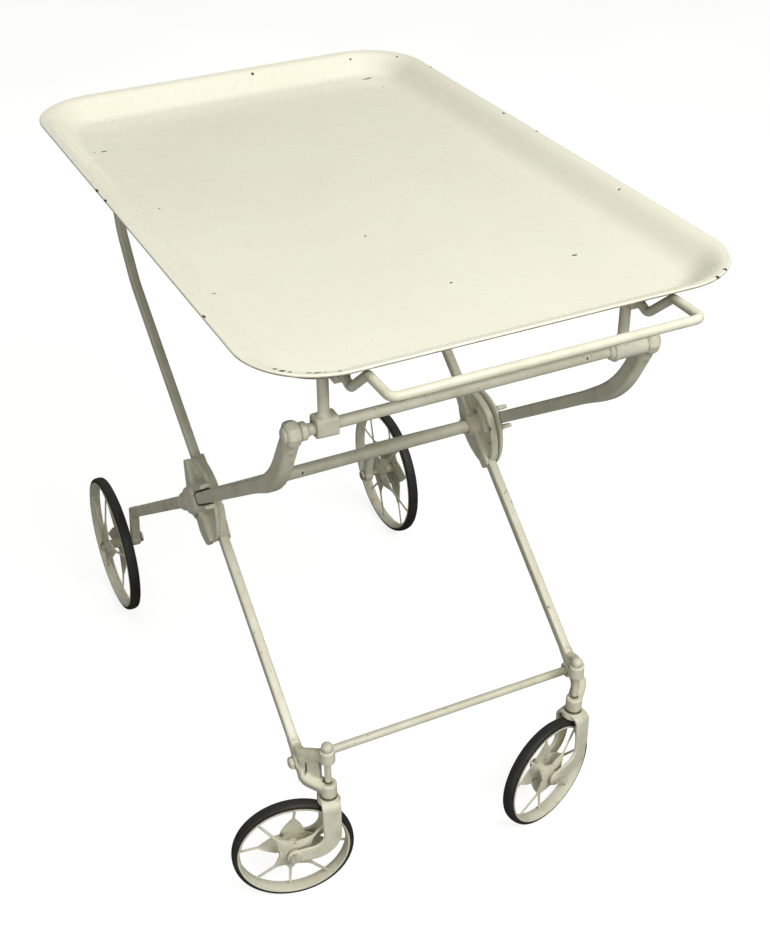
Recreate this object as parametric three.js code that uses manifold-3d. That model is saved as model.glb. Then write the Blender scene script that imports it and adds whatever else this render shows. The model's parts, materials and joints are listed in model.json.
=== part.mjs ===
// Folding serving cart: an enamelled tray on a crossed-leg frame with two fixed
// spoked wheels and two swivelling casters. Millimetres, +Z up. The handle is at -Y
// and the fixed wheels at +Y. Heights below are above the ground; the finished group is
// lowered so that the origin is the middle of the tray's floor.
import * as THREE from 'three';
import { mergeVertices } from 'three/addons/utils/BufferGeometryUtils.js';
import Module from 'manifold-3d';

const wasm = await Module();
wasm.setup();

// ---- driving dimensions ----
const GAP = 0.3; // clearance kept between neighbouring pieces

// Tray pan
const TRAY_WIDTH = 508;
const TRAY_LENGTH = 790;
const TRAY_HEIGHT = 760; // floor to rim
const TRAY_DEPTH = 25;
const TRAY_CORNER = 81;
const SHEET = 1.6;
const PAN_FLOOR = TRAY_HEIGHT - TRAY_DEPTH;
const PAN_UNDERSIDE = PAN_FLOOR - SHEET;

// Tray hinge at the handle end
const HINGE_Y = -304;
const HINGE_Z = 653;
const HINGE_ROD_RADIUS = 6;
const POST_X = 164;
const POST_RADIUS = 5.7;
const SLEEVE_RADIUS = 10.8;

// Handle
const HANDLE_X = 157;
const HANDLE_Y = -431;
const HANDLE_Z = 747.5;
const HANDLE_RADIUS = 4.6;
const HANDLE_END_Y = -318.5; // the arms start here, close under the pan,
const HANDLE_END_Z = 726.5;
const HANDLE_DIP_Y = -350; // dip below its wall,
const HANDLE_DIP_Z = 715.5;
const HANDLE_CREST_Y = -386; // and rise over its rim
const HANDLE_BEND = 8;

// Crossed legs
const PIVOT_Y = 14.6;
const PIVOT_Z = 384.7;
const CROSS_BAR_RADIUS = 8;
const PIVOT_RADIUS = 6;
const CASTER_LEG_X = 181;
const CASTER_LEG_THICK = 11;
const CASTER_LEG_WIDE = 12.5;
const AXLE_LEG_X = 197;
const AXLE_LEG_THICK = 12;
const AXLE_LEG_WIDE = 15;
const TAIL_X = 190;
const TAIL_THICK = 12.5;
const TAIL_WIDE = 15.5;
const LOWER_BAR_Y = -240.8;
const LOWER_BAR_Z = 176;
const LOWER_BAR_RADIUS = 5;
const REST_Y = 297;
const REST_Z = 717;
const REST_RADIUS = 5;

// Fixed wheels
const REAR_Y = 361;
const REAR_RADIUS = 100;
const REAR_X = 222;
const REAR_HUB_LENGTH = 31;

// Casters
const STEM_X = 162;
const STEM_Y = -276;
const STEM_RADIUS = 4;
const CASTER_RADIUS = 72;
const CASTER_TRAIL = 44.5;
const CASTER_HUB_LENGTH = 24;
const LEFT_SWIVEL = THREE.MathUtils.degToRad(78);
const RIGHT_SWIVEL = THREE.MathUtils.degToRad(108);

// Wheel sections
const TYRE_RADIAL = 6.5;
const TYRE_WIDTH = 14;
const RIM_WIDTH = 15;
const RIM_SHEET = 2;
const HUB_RADIUS = 7.2;
const AXLE_RADIUS = 4.5;
const REAR_SPOKES = 5; // arms of each of a wheel's two stars
const CASTER_SPOKES = 4;
const REAR_PHASE = THREE.MathUtils.degToRad(20);
const CASTER_PHASE = THREE.MathUtils.degToRad(5);
const WHEEL_SEGMENTS = 30;

// ---- materials ----
const enamel = () => new THREE.MeshStandardMaterial({ color: 0xe3e2ce, roughness: 0.28, metalness: 0 });
const paint = () => new THREE.MeshStandardMaterial({ color: 0xc9c8b2, roughness: 0.45, metalness: 0 });
const rubber = () => new THREE.MeshStandardMaterial({ color: 0x1c1d1b, roughness: 0.7, metalness: 0 });
const steel = () => new THREE.MeshStandardMaterial({ color: 0x8b8a80, roughness: 0.4, metalness: 1 });

// ---- geometry helpers ----

// One closed mesh with shared corners, turned the right way out.
function closed(geometry) {
  geometry.deleteAttribute('normal');
  geometry.deleteAttribute('uv');
  const merged = mergeVertices(geometry, 1e-4);
  const position = merged.attributes.position;
  const index = merged.index.array;
  const a = new THREE.Vector3();
  const b = new THREE.Vector3();
  const c = new THREE.Vector3();
  const kept = [];
  let volume = 0;
  for (let i = 0; i < index.length; i += 3) {
    const [p, q, r] = [index[i], index[i + 1], index[i + 2]];
    if (p === q || q === r || r === p) continue;
    a.fromBufferAttribute(position, p);
    b.fromBufferAttribute(position, q);
    c.fromBufferAttribute(position, r);
    volume += a.dot(b.cross(c));
    kept.push(p, q, r);
  }
  if (volume < 0) kept.reverse();
  merged.setIndex(kept);
  return merged;
}

function toSolid(geometry) {
  const mesh = closed(geometry);
  return new wasm.Manifold(new wasm.Mesh({
    numProp: 3,
    vertProperties: new Float32Array(mesh.attributes.position.array),
    triVerts: new Uint32Array(mesh.index.array),
  }));
}

function fromSolid(solid) {
  const mesh = solid.getMesh();
  const geometry = new THREE.BufferGeometry();
  geometry.setAttribute('position', new THREE.BufferAttribute(new Float32Array(mesh.vertProperties), 3));
  geometry.setIndex(Array.from(mesh.triVerts));
  return geometry;
}

// Joins the geometries of `add`, then takes away those of `cut`.
function combine(add, cut = []) {
  let solid = toSolid(add[0]);
  for (const geometry of add.slice(1)) solid = solid.add(toSolid(geometry));
  for (const geometry of cut) solid = solid.subtract(toSolid(geometry));
  return fromSolid(solid);
}

// A path of straight runs joined by arcs. Its stations are the arcs' points, so a
// swept section bends only where the path does.
class BentPath extends THREE.Curve {
  constructor(corners, radius, steps = 4) {
    super();
    this.stations = [corners[0].clone()];
    for (let i = 1; i < corners.length - 1; i += 1) {
      this.addArc(corners[i - 1], corners[i], corners[i + 1], radius, steps);
    }
    this.stations.push(corners.at(-1).clone());
  }

  addArc(before, corner, after, radius, steps) {
    const into = corner.clone().sub(before).normalize();
    const out = after.clone().sub(corner).normalize();
    const turn = into.angleTo(out);
    const reach = radius * Math.tan(turn / 2);
    const start = corner.clone().addScaledVector(into, -reach);
    const side = out.clone().addScaledVector(into, -out.dot(into)).normalize();
    for (let k = 0; k <= steps; k += 1) {
      const angle = turn * k / steps;
      const point = start.clone().addScaledVector(into, radius * Math.sin(angle));
      this.stations.push(point.addScaledVector(side, radius * (1 - Math.cos(angle))));
    }
  }

  get steps() {
    return this.stations.length - 1;
  }

  getPoint(t, target = new THREE.Vector3()) {
    const place = t * this.steps;
    const i = Math.min(Math.floor(place), this.steps - 1);
    return target.lerpVectors(this.stations[i], this.stations[i + 1], place - i);
  }

  getPointAt(u, target) {
    return this.getPoint(u, target);
  }

  getTangentAt(u, target = new THREE.Vector3()) {
    const i = Math.round(u * this.steps);
    const before = this.stations[Math.max(i - 1, 0)];
    const here = this.stations[i];
    const after = this.stations[Math.min(i + 1, this.steps)];
    const into = here.clone().sub(before).normalize();
    const out = after.clone().sub(here).normalize();
    return target.addVectors(into, out).normalize();
  }
}

function sweep(section, corners, radius, steps) {
  const path = new BentPath(corners, radius, steps);
  return new THREE.ExtrudeGeometry(section, {
    steps: path.steps,
    bevelEnabled: false,
    extrudePath: path,
  });
}

function roundSection(radius, sides) {
  const shape = new THREE.Shape();
  for (let k = 0; k < sides; k += 1) {
    const angle = 2 * Math.PI * (k + 0.5) / sides;
    const method = k === 0 ? 'moveTo' : 'lineTo';
    shape[method](radius * Math.cos(angle), radius * Math.sin(angle));
  }
  shape.closePath();
  return shape;
}

// A rectangle with cut corners: `across` lies along X on a leg, `deep` in the leg's plane.
function barSection(across, deep, corner) {
  const x = across / 2;
  const y = deep / 2;
  const shape = new THREE.Shape();
  shape.moveTo(x - corner, -y);
  shape.lineTo(x, -y + corner);
  shape.lineTo(x, y - corner);
  shape.lineTo(x - corner, y);
  shape.lineTo(-x + corner, y);
  shape.lineTo(-x, y - corner);
  shape.lineTo(-x, -y + corner);
  shape.lineTo(-x + corner, -y);
  shape.closePath();
  return shape;
}

const point = (x, y, z) => new THREE.Vector3(x, y, z);

function rod(radius, from, to, sides = 12) {
  const along = to.clone().sub(from);
  const geometry = new THREE.CylinderGeometry(radius, radius, along.length(), sides);
  const turn = new THREE.Quaternion().setFromUnitVectors(point(0, 1, 0), along.clone().normalize());
  geometry.applyQuaternion(turn);
  geometry.translate(...from.clone().lerp(to, 0.5).toArray());
  return geometry;
}

// A cylinder along X between two x positions, at (y, z).
const pinX = (radius, x0, x1, y, z, sides) => rod(radius, point(x0, y, z), point(x1, y, z), sides);

// A turned shape about the X axis from [radius, x] pairs.
function turnedX(profile, sides) {
  const points = profile.map(([radius, x]) => new THREE.Vector2(radius, x));
  const geometry = new THREE.LatheGeometry(points, sides);
  return geometry.rotateZ(-Math.PI / 2);
}

// A turned shape about the Z axis from [radius, z] pairs.
function turnedZ(profile, sides) {
  const points = profile.map(([radius, z]) => new THREE.Vector2(radius, z));
  return new THREE.LatheGeometry(points, sides).rotateX(Math.PI / 2);
}

// A plate in the Y-Z plane between two x positions, from [y, z] corners.
function plateX(shape, x0, x1) {
  const geometry = new THREE.ExtrudeGeometry(shape, {
    depth: Math.abs(x1 - x0),
    bevelEnabled: false,
    curveSegments: 6,
  });
  const turn = new THREE.Matrix4().makeBasis(point(0, 1, 0), point(0, 0, 1), point(1, 0, 0));
  geometry.applyMatrix4(turn);
  return geometry.translate(Math.min(x0, x1), 0, 0);
}

function outline(corners) {
  return new THREE.Shape(corners.map(([u, v]) => new THREE.Vector2(u, v)));
}

function box(x0, x1, y0, y1, z0, z1) {
  const geometry = new THREE.BoxGeometry(Math.abs(x1 - x0), Math.abs(y1 - y0), Math.abs(z1 - z0));
  return geometry.translate((x0 + x1) / 2, (y0 + y1) / 2, (z0 + z1) / 2);
}

function piece(name, geometry, material) {
  const shell = closed(geometry);
  shell.computeVertexNormals();
  const mesh = new THREE.Mesh(shell, material);
  mesh.name = name;
  return mesh;
}

const sides = [['left', -1], ['right', 1]];

// ---- tray ----

// One loop round the tray: `inset` in from the rim edge, at height z.
function trayLoop(inset, z) {
  const arcSteps = 6;
  const radius = Math.max(TRAY_CORNER - inset, 30);
  const x = TRAY_WIDTH / 2 - inset - radius;
  const y = TRAY_LENGTH / 2 - inset - radius;
  const centres = [[x, y], [-x, y], [-x, -y], [x, -y]];
  const loop = [];
  centres.forEach(([cx, cy], quarter) => {
    for (let k = 0; k <= arcSteps; k += 1) {
      const angle = (quarter + k / arcSteps) * Math.PI / 2;
      loop.push([cx + radius * Math.cos(angle), cy + radius * Math.sin(angle), z]);
    }
  });
  return loop;
}

// The pan's skin as [inset, height below the rim], from the middle of the floor out
// over the rolled rim and back along the underside.
const PAN_SECTION = [
  [48, -25], [40, -24.2], [32, -21.2], [25, -16], [18.5, -9.8], [13, -5.2], [8, -2.3], [4, -0.9],
  [1.2, -0.2], [0, -1.4], [0.3, -3.2], [1.8, -4.1], [4.4, -3],
  [8.6, -4], [13.8, -6.8], [19.5, -11.2], [26, -17.4], [32.6, -22.8], [40.3, -25.8], [48, -26.6],
];

function panGeometry() {
  const loops = PAN_SECTION.map(([inset, drop]) => trayLoop(inset, TRAY_HEIGHT + drop));
  const count = loops[0].length;
  const vertices = loops.flat();
  const top = vertices.push([0, 0, PAN_FLOOR]) - 1;
  const bottom = vertices.push([0, 0, PAN_UNDERSIDE]) - 1;
  const index = [];
  for (let k = 0; k < count; k += 1) {
    const next = (k + 1) % count;
    index.push(top, k, next);
    for (let row = 0; row < loops.length - 1; row += 1) {
      const a = row * count + k;
      const b = row * count + next;
      index.push(a, a + count, b + count, a, b + count, b);
    }
    const last = (loops.length - 1) * count;
    index.push(bottom, last + next, last + k);
  }
  const geometry = new THREE.BufferGeometry();
  geometry.setAttribute('position', new THREE.Float32BufferAttribute(vertices.flat(), 3));
  geometry.setIndex(index);
  return geometry;
}

function handleGeometry() {
  const corners = [];
  for (const side of [-1, 1]) {
    const run = [
      point(side * HANDLE_X, HANDLE_END_Y, HANDLE_END_Z),
      point(side * HANDLE_X, HANDLE_DIP_Y, HANDLE_DIP_Z),
      point(side * HANDLE_X, HANDLE_CREST_Y, HANDLE_Z),
      point(side * HANDLE_X, HANDLE_Y, HANDLE_Z),
    ];
    corners.push(...(side < 0 ? run : run.reverse()));
  }
  return sweep(roundSection(HANDLE_RADIUS, 8), corners, HANDLE_BEND, 3);
}

// A saddle with two ears that holds one handle arm up to the pan.
const CLIP_LONG = 14;
const CLIP_WIDE = 16;
const CLIP_SPREAD = 34;
const CLIP_EAR = 2.5;

function handleClip(side) {
  const x = side * HANDLE_X;
  const y0 = HANDLE_END_Y - 1 - CLIP_LONG;
  const y1 = HANDLE_END_Y - 1;
  const top = PAN_UNDERSIDE - GAP;
  const low = HANDLE_END_Z - HANDLE_RADIUS - 9;
  const slope = (HANDLE_END_Z - HANDLE_DIP_Z) / (HANDLE_END_Y - HANDLE_DIP_Y);
  const onArm = (y) => point(x, y, HANDLE_END_Z + slope * (y - HANDLE_END_Y));
  return combine(
    [
      box(x - CLIP_WIDE / 2, x + CLIP_WIDE / 2, y0, y1, low, top),
      box(x - CLIP_SPREAD / 2, x + CLIP_SPREAD / 2, y0, y1, top - CLIP_EAR, top),
    ],
    [rod(HANDLE_RADIUS + 0.6, onArm(y0 - 9), onArm(y1 + 9), 12)],
  );
}

// The post stands on a sleeve that turns on the hinge rod, and a round foot meets the pan.
function trayPost(side) {
  const x = side * POST_X;
  const [from, to] = side < 0 ? [x - 8.5, x + 14] : [x - 6.5, x + 26.5];
  const top = PAN_UNDERSIDE - GAP;
  return combine(
    [
      rod(POST_RADIUS, point(x, HINGE_Y, HINGE_Z), point(x, HINGE_Y, top)),
      rod(13, point(x, HINGE_Y, top - 2.5), point(x, HINGE_Y, top), 12),
      pinX(SLEEVE_RADIUS, from, to, HINGE_Y, HINGE_Z, 12),
    ],
    [pinX(HINGE_ROD_RADIUS + 0.6, from - 1, to + 1, HINGE_Y, HINGE_Z, 12)],
  );
}

// A hook under the pan, open towards the handle, where the rest rod sits.
const CATCH_X = 140;
const CATCH_WIDE = 18;
const CATCH_THICK = 3;

function restCatch(side) {
  const x = side * CATCH_X;
  const loose = REST_RADIUS + 1;
  const front = REST_Y - 14;
  const lip = REST_Y - 3;
  const back = REST_Y + loose;
  const top = PAN_UNDERSIDE - GAP;
  const hook = outline([
    [front, top],
    [front, REST_Z + loose],
    [back, REST_Z + loose],
    [back, REST_Z - loose],
    [lip, REST_Z - loose],
    [lip, REST_Z - loose - CATCH_THICK],
    [back + CATCH_THICK, REST_Z - loose - CATCH_THICK],
    [back + CATCH_THICK, top],
  ]);
  return plateX(hook, x - CATCH_WIDE / 2, x + CATCH_WIDE / 2);
}

function buildTray() {
  const tray = new THREE.Group();
  tray.add(piece('tray_pan', panGeometry(), enamel()));
  tray.add(piece('handle_rod', handleGeometry(), paint()));
  for (const [name, side] of sides) {
    tray.add(piece(`handle_clip_${name}`, handleClip(side), paint()));
    tray.add(piece(`tray_post_${name}`, trayPost(side), paint()));
    tray.add(piece(`rest_catch_${name}`, restCatch(side), paint()));
  }
  return tray;
}

// ---- the legs that carry the fixed wheels ----

const AXLE_LEG_SLOPE = Math.tan(THREE.MathUtils.degToRad(34.6));
const axleLegZ = (y) => PIVOT_Z - AXLE_LEG_SLOPE * (y - PIVOT_Y);
const AXLE_LEG_START_Y = PIVOT_Y - 14;
const AXLE_LEG_KNEE_Y = -262;
const AXLE_LEG_BEND = 150;
const EYE_RADIUS = 13.2;

function axleLegBar(side) {
  const x = side * AXLE_LEG_X;
  const corners = [
    point(x, AXLE_LEG_START_Y, axleLegZ(AXLE_LEG_START_Y)),
    point(x, AXLE_LEG_KNEE_Y, axleLegZ(AXLE_LEG_KNEE_Y)),
    point(x, HINGE_Y, HINGE_Z),
  ];
  const section = barSection(AXLE_LEG_THICK, AXLE_LEG_WIDE, 3.5);
  const x0 = x - AXLE_LEG_THICK / 2;
  const x1 = x + AXLE_LEG_THICK / 2;
  return combine(
    [sweep(section, corners, AXLE_LEG_BEND, 6), pinX(EYE_RADIUS, x0, x1, HINGE_Y, HINGE_Z, 12)],
    [pinX(HINGE_ROD_RADIUS + 0.6, x0 - 1, x1 + 1, HINGE_Y, HINGE_Z, 12)],
  );
}

const TAIL_START_Y = PIVOT_Y + 30;
const TAIL_END_Y = 350;
const TAIL_BEND = 9;
const TAIL_FLARE = 4.5; // how much further out the tail starts, at its boss
const TAIL_BOSS_LONG = 32;
const LOBE_RADIUS = 10.5;

// The tail runs down to an elbow, then drops to a round lobe that holds the axle.
function tailCorners(side) {
  const x = side * TAIL_X;
  const onLeg = (px, y) => point(px, y, axleLegZ(y));
  return [
    onLeg(x + side * TAIL_FLARE, TAIL_START_Y),
    onLeg(x + side * TAIL_FLARE, TAIL_START_Y + TAIL_BOSS_LONG),
    onLeg(x, TAIL_START_Y + 90),
    onLeg(x, TAIL_END_Y),
    point(x, REAR_Y, REAR_RADIUS),
  ];
}

function axleLegTail(side) {
  const x = side * TAIL_X;
  const x0 = x - TAIL_THICK / 2;
  const x1 = x + TAIL_THICK / 2;
  const section = barSection(TAIL_THICK, TAIL_WIDE, 2);
  const lobe = pinX(LOBE_RADIUS, x0, x1, REAR_Y, REAR_RADIUS, 12);
  return combine(
    [sweep(section, tailCorners(side), TAIL_BEND, 3), lobe],
    [pinX(AXLE_RADIUS + 0.5, x0 - 1, x1 + 1, REAR_Y, REAR_RADIUS, 12)],
  );
}

const LEG_ANGLE = Math.atan2(163.6, 178.5); // lean of the caster legs from level
const KNUCKLE_LONG = 52;
const KNUCKLE_DROP = 4; // how far the knuckles' middle lies down the leg from the pivot
const INNER_FRONT = 46;
const INNER_BACK = 35;
const INNER_RIDGE = 17; // half width of the thick spine that houses the leg's bars
const OUTER_FRONT = 55;
const OUTER_BACK = 49;
const KNUCKLE_POINTS = 20;

// An egg along the caster leg, round the pivot, fuller in front where the other leg's bar runs.
function knuckleShape(long, front, back) {
  const shape = new THREE.Shape();
  const corners = [];
  for (let k = 0; k < KNUCKLE_POINTS; k += 1) {
    const angle = 2 * Math.PI * k / KNUCKLE_POINTS;
    const u = long * Math.sign(Math.cos(angle)) * Math.abs(Math.cos(angle)) ** 1.25 - KNUCKLE_DROP;
    const v = (Math.sin(angle) > 0 ? front : back) * Math.sin(angle);
    const y = PIVOT_Y + u * Math.cos(LEG_ANGLE) - v * Math.sin(LEG_ANGLE);
    const z = PIVOT_Z + u * Math.sin(LEG_ANGLE) + v * Math.cos(LEG_ANGLE);
    corners.push(new THREE.Vector2(y, z));
  }
  shape.setFromPoints(corners);
  return shape;
}

// The outer knuckle grips the bar in a channel and holds the tail in a round boss.
const CHANNEL_FRONT_Y = PIVOT_Y - 46;
const CHANNEL_BACK_Y = PIVOT_Y + 16;
const CHANNEL_HALF = 15;
const BOSS_RADIUS = 13;
const BOSS_START_Y = PIVOT_Y + 8;
const BOSS_END_Y = TAIL_START_Y + 20;

function channelShape() {
  const shape = new THREE.Shape();
  shape.moveTo(CHANNEL_BACK_Y, axleLegZ(CHANNEL_BACK_Y) - CHANNEL_HALF);
  shape.lineTo(CHANNEL_BACK_Y, axleLegZ(CHANNEL_BACK_Y) + CHANNEL_HALF);
  shape.lineTo(CHANNEL_FRONT_Y, axleLegZ(CHANNEL_FRONT_Y) + CHANNEL_HALF);
  shape.lineTo(CHANNEL_FRONT_Y, axleLegZ(CHANNEL_FRONT_Y) - CHANNEL_HALF);
  shape.closePath();
  return shape;
}

function axleLegKnuckle(side) {
  const x = side * AXLE_LEG_X;
  const face = side * (CASTER_LEG_X + 6.4);
  const back = x - side * (AXLE_LEG_THICK / 2 + GAP);
  const proud = x + side * (AXLE_LEG_THICK / 2 - 2);
  const tail = tailCorners(side);
  const onTail = (y) => point(tail[0].x, y, axleLegZ(y));
  const onBar = (y) => point(x, y, axleLegZ(y));
  const barSlot = sweep(
    barSection(AXLE_LEG_THICK + 2 * GAP, AXLE_LEG_WIDE + 2 * GAP, 3.4),
    [onBar(AXLE_LEG_START_Y + 0.5), onBar(CHANNEL_FRONT_Y - 30)],
    1,
  );
  const tailSlot = sweep(
    barSection(TAIL_THICK + 2 * GAP, TAIL_WIDE + 2 * GAP, 1.9),
    [onTail(TAIL_START_Y - 0.4), tail[1]],
    1,
  );
  const shield = knuckleShape(KNUCKLE_LONG - 1, OUTER_FRONT, OUTER_BACK);
  return combine(
    [
      plateX(shield, face, back),
      plateX(channelShape(), side * (CASTER_LEG_X + 8), proud),
      rod(BOSS_RADIUS, onTail(BOSS_START_Y), onTail(BOSS_END_Y), 12),
    ],
    [
      box(side * 160, face, -100, 140, 300, 480),
      barSlot,
      tailSlot,
      pinX(PIVOT_RADIUS + 0.6, side * 180, side * 196.4, PIVOT_Y, PIVOT_Z, 12),
    ],
  );
}

function rearAxle(side) {
  const inner = side * (TAIL_X - TAIL_THICK / 2 - 1.5);
  const outer = side * (REAR_X + REAR_HUB_LENGTH / 2 + 2);
  return combine([
    pinX(AXLE_RADIUS, inner, outer, REAR_Y, REAR_RADIUS),
    pinX(7.5, outer - side * 1.2, outer + side * 3, REAR_Y, REAR_RADIUS, 12),
    pinX(7.5, inner, inner - side * 3, REAR_Y, REAR_RADIUS, 6),
  ]);
}

function buildAxleLegs() {
  const legs = new THREE.Group();
  const eyeInside = AXLE_LEG_X - AXLE_LEG_THICK / 2 - GAP;
  const eyeOutside = AXLE_LEG_X + AXLE_LEG_THICK / 2 + GAP;
  const hingeRod = pinX(HINGE_ROD_RADIUS, -eyeOutside + 1, eyeOutside - 1, HINGE_Y, HINGE_Z, 12);
  legs.add(piece('hinge_rod', hingeRod, paint()));
  const collars = { left: [-eyeInside, -(POST_X + 11)], right: [POST_X - 17, POST_X - 8] };
  for (const [name, side] of sides) {
    const [from, to] = collars[name];
    const collar = combine(
      [pinX(9.2, from, to, HINGE_Y, HINGE_Z, 12)],
      [pinX(HINGE_ROD_RADIUS + 0.6, from - 1, to + 1, HINGE_Y, HINGE_Z, 12)],
    );
    const cap = turnedX([[0, 0], [8.5, 0], [8, 3], [5.5, 5.6], [0, 6.6]], 12);
    if (side < 0) cap.rotateZ(Math.PI);
    cap.translate(side * eyeOutside, HINGE_Y, HINGE_Z);
    legs.add(piece(`rod_collar_${name}`, collar, paint()));
    legs.add(piece(`rod_nut_${name}`, cap, paint()));
    legs.add(piece(`axle_leg_bar_${name}`, axleLegBar(side), paint()));
    legs.add(piece(`axle_leg_tail_${name}`, axleLegTail(side), paint()));
    legs.add(piece(`axle_leg_knuckle_${name}`, axleLegKnuckle(side), paint()));
    legs.add(piece(`rear_axle_${name}`, rearAxle(side), steel()));
  }
  return legs;
}

// ---- the legs that carry the casters ----

const casterSection = () => barSection(CASTER_LEG_THICK, CASTER_LEG_WIDE, 2);

// Places on the leg as [y, height]: foot, both ends inside the knuckle, and the upper bends.
const LEG_FOOT = [-230, 185.5];
const LEG_LOW_END = [-10, 365.4];
const LEG_HIGH_END = [38, 407.7];
const LEG_KNEE = [238, 568];
const LEG_NECK = [275, 622];
const LEG_SLOPE = (LEG_LOW_END[1] - LEG_FOOT[1]) / (LEG_LOW_END[0] - LEG_FOOT[0]);
const LEG_BEND = 60;
const legZ = (y) => LEG_FOOT[1] + LEG_SLOPE * (y - LEG_FOOT[0]);

function casterLowerCorners(side, stretch = 0) {
  const x = side * CASTER_LEG_X;
  const end = LEG_LOW_END[0] + stretch;
  return [point(x, ...LEG_FOOT), point(x, end, legZ(end))];
}

function casterUpperCorners(side, stretch = 0) {
  const x = side * CASTER_LEG_X;
  return [
    point(x, LEG_HIGH_END[0] - stretch, LEG_HIGH_END[1] - stretch * 0.8),
    point(x, ...LEG_KNEE),
    point(x, ...LEG_NECK),
    point(x, REST_Y, REST_Z),
  ];
}

function casterUpperBar(side) {
  const x = side * CASTER_LEG_X;
  const x0 = x - CASTER_LEG_THICK / 2;
  const x1 = x + CASTER_LEG_THICK / 2;
  return combine(
    [
      sweep(casterSection(), casterUpperCorners(side), LEG_BEND, 5),
      pinX(8.5, x0, x1, REST_Y, REST_Z, 12),
    ],
    [pinX(REST_RADIUS + 0.6, x0 - 1, x1 + 1, REST_Y, REST_Z, 12)],
  );
}

// The inner knuckle joins the leg's two bars and is keyed to the cross bar.
function casterLegKnuckle(side) {
  const inner = side * (CASTER_LEG_X - 9.5);
  const edge = side * (CASTER_LEG_X - 2);
  const outer = side * (CASTER_LEG_X + 6);
  const loose = barSection(CASTER_LEG_THICK + 2 * GAP, CASTER_LEG_WIDE + 2 * GAP, 1.9);
  return combine(
    [
      plateX(knuckleShape(KNUCKLE_LONG, INNER_FRONT, INNER_BACK), edge, outer),
      plateX(knuckleShape(KNUCKLE_LONG, INNER_RIDGE, INNER_RIDGE), inner, outer),
    ],
    [
      sweep(loose, casterLowerCorners(side, 0.5), LEG_BEND, 5),
      sweep(loose, casterUpperCorners(side, 0.5), LEG_BEND, 5),
      pinX(PIVOT_RADIUS + 0.6, inner - side * 2, outer + side * 2, PIVOT_Y, PIVOT_Z, 12),
    ],
  );
}

// The cross bar's reduced ends pass through both knuckles and are the pivots.
function crossBar() {
  const shoulder = CASTER_LEG_X - 9.5 - GAP;
  const end = CASTER_LEG_X + 15;
  return combine([
    pinX(CROSS_BAR_RADIUS, -shoulder, shoulder, PIVOT_Y, PIVOT_Z, 12),
    pinX(PIVOT_RADIUS, -end, end, PIVOT_Y, PIVOT_Z, 12),
  ]);
}

// A bracket: a boot that holds the leg's foot and curls under to the lower ear, an arm to
// the upper ear, and a thin web between them that stops short of the stem.
const EAR_TOP = 215;
const EAR_THICK = 18;
const EAR_RADIUS = 9.5;
const BRACKET_LOW = 147;
const BOOT_TOP_Y = -222;
const BOOT_HEEL_Y = -257;
const BOOT_WIDE = 17;
const BOOT_BEND = 12;
const ARM_WIDE = 12;
const WEB_THICK = 8;
const WEB_GAP = 5;
const WEB_RISE = 14; // the web's lower edge at the boot, above the bracket's foot
const WEB_SHOULDER = 30; // its upper edge at the boot, below the upper ear's top
const ARM_RISE = 10; // how far the arm starts above the leg's middle line

function casterBracket(side) {
  const x = side * CASTER_LEG_X;
  const stemAt = (z) => point(side * STEM_X, STEM_Y, z);
  const ear = (z) => rod(EAR_RADIUS, stemAt(z), stemAt(z + EAR_THICK), 12);
  const boot = sweep(
    barSection(BOOT_WIDE, BOOT_WIDE, 3),
    [
      point(x, BOOT_TOP_Y, legZ(BOOT_TOP_Y)),
      point(x, BOOT_HEEL_Y, legZ(BOOT_HEEL_Y)),
      stemAt(BRACKET_LOW + EAR_THICK / 2),
    ],
    BOOT_BEND,
    3,
  );
  const shoulder = point(x, LOWER_BAR_Y, legZ(LOWER_BAR_Y) + ARM_RISE);
  const arm = sweep(
    barSection(ARM_WIDE, ARM_WIDE + 3, 2.5),
    [shoulder, stemAt(EAR_TOP - EAR_THICK / 2)],
    1,
  );
  const along = stemAt(0).sub(point(x, BOOT_HEEL_Y + 6, 0));
  const span = along.length() - STEM_RADIUS - WEB_GAP;
  const webShape = outline([
    [-4, BRACKET_LOW + WEB_RISE],
    [-4, EAR_TOP - WEB_SHOULDER],
    [span, EAR_TOP - EAR_THICK + 4],
    [span, BRACKET_LOW + 6],
  ]);
  const web = plateX(webShape, -WEB_THICK / 2, WEB_THICK / 2);
  web.rotateZ(Math.atan2(along.y, along.x) - Math.PI / 2);
  web.translate(x, BOOT_HEEL_Y + 6, 0);
  const loose = barSection(CASTER_LEG_THICK + 2 * GAP, CASTER_LEG_WIDE + 2 * GAP, 1.9);
  const foot = point(x, LEG_FOOT[0] - 0.5, legZ(LEG_FOOT[0] - 0.5));
  return combine(
    [boot, arm, web, ear(EAR_TOP - EAR_THICK), ear(BRACKET_LOW)],
    [
      sweep(loose, [foot, casterLowerCorners(side)[1]], 1),
      rod(STEM_RADIUS + 0.5, stemAt(BRACKET_LOW - 40), stemAt(EAR_TOP + 40), 12),
      pinX(LOWER_BAR_RADIUS + 0.6, side * 150, side * 200, LOWER_BAR_Y, LOWER_BAR_Z, 12),
      box(side * 130, side * 220, -320, -200, BRACKET_LOW - 20, BRACKET_LOW),
    ],
  );
}

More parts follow.
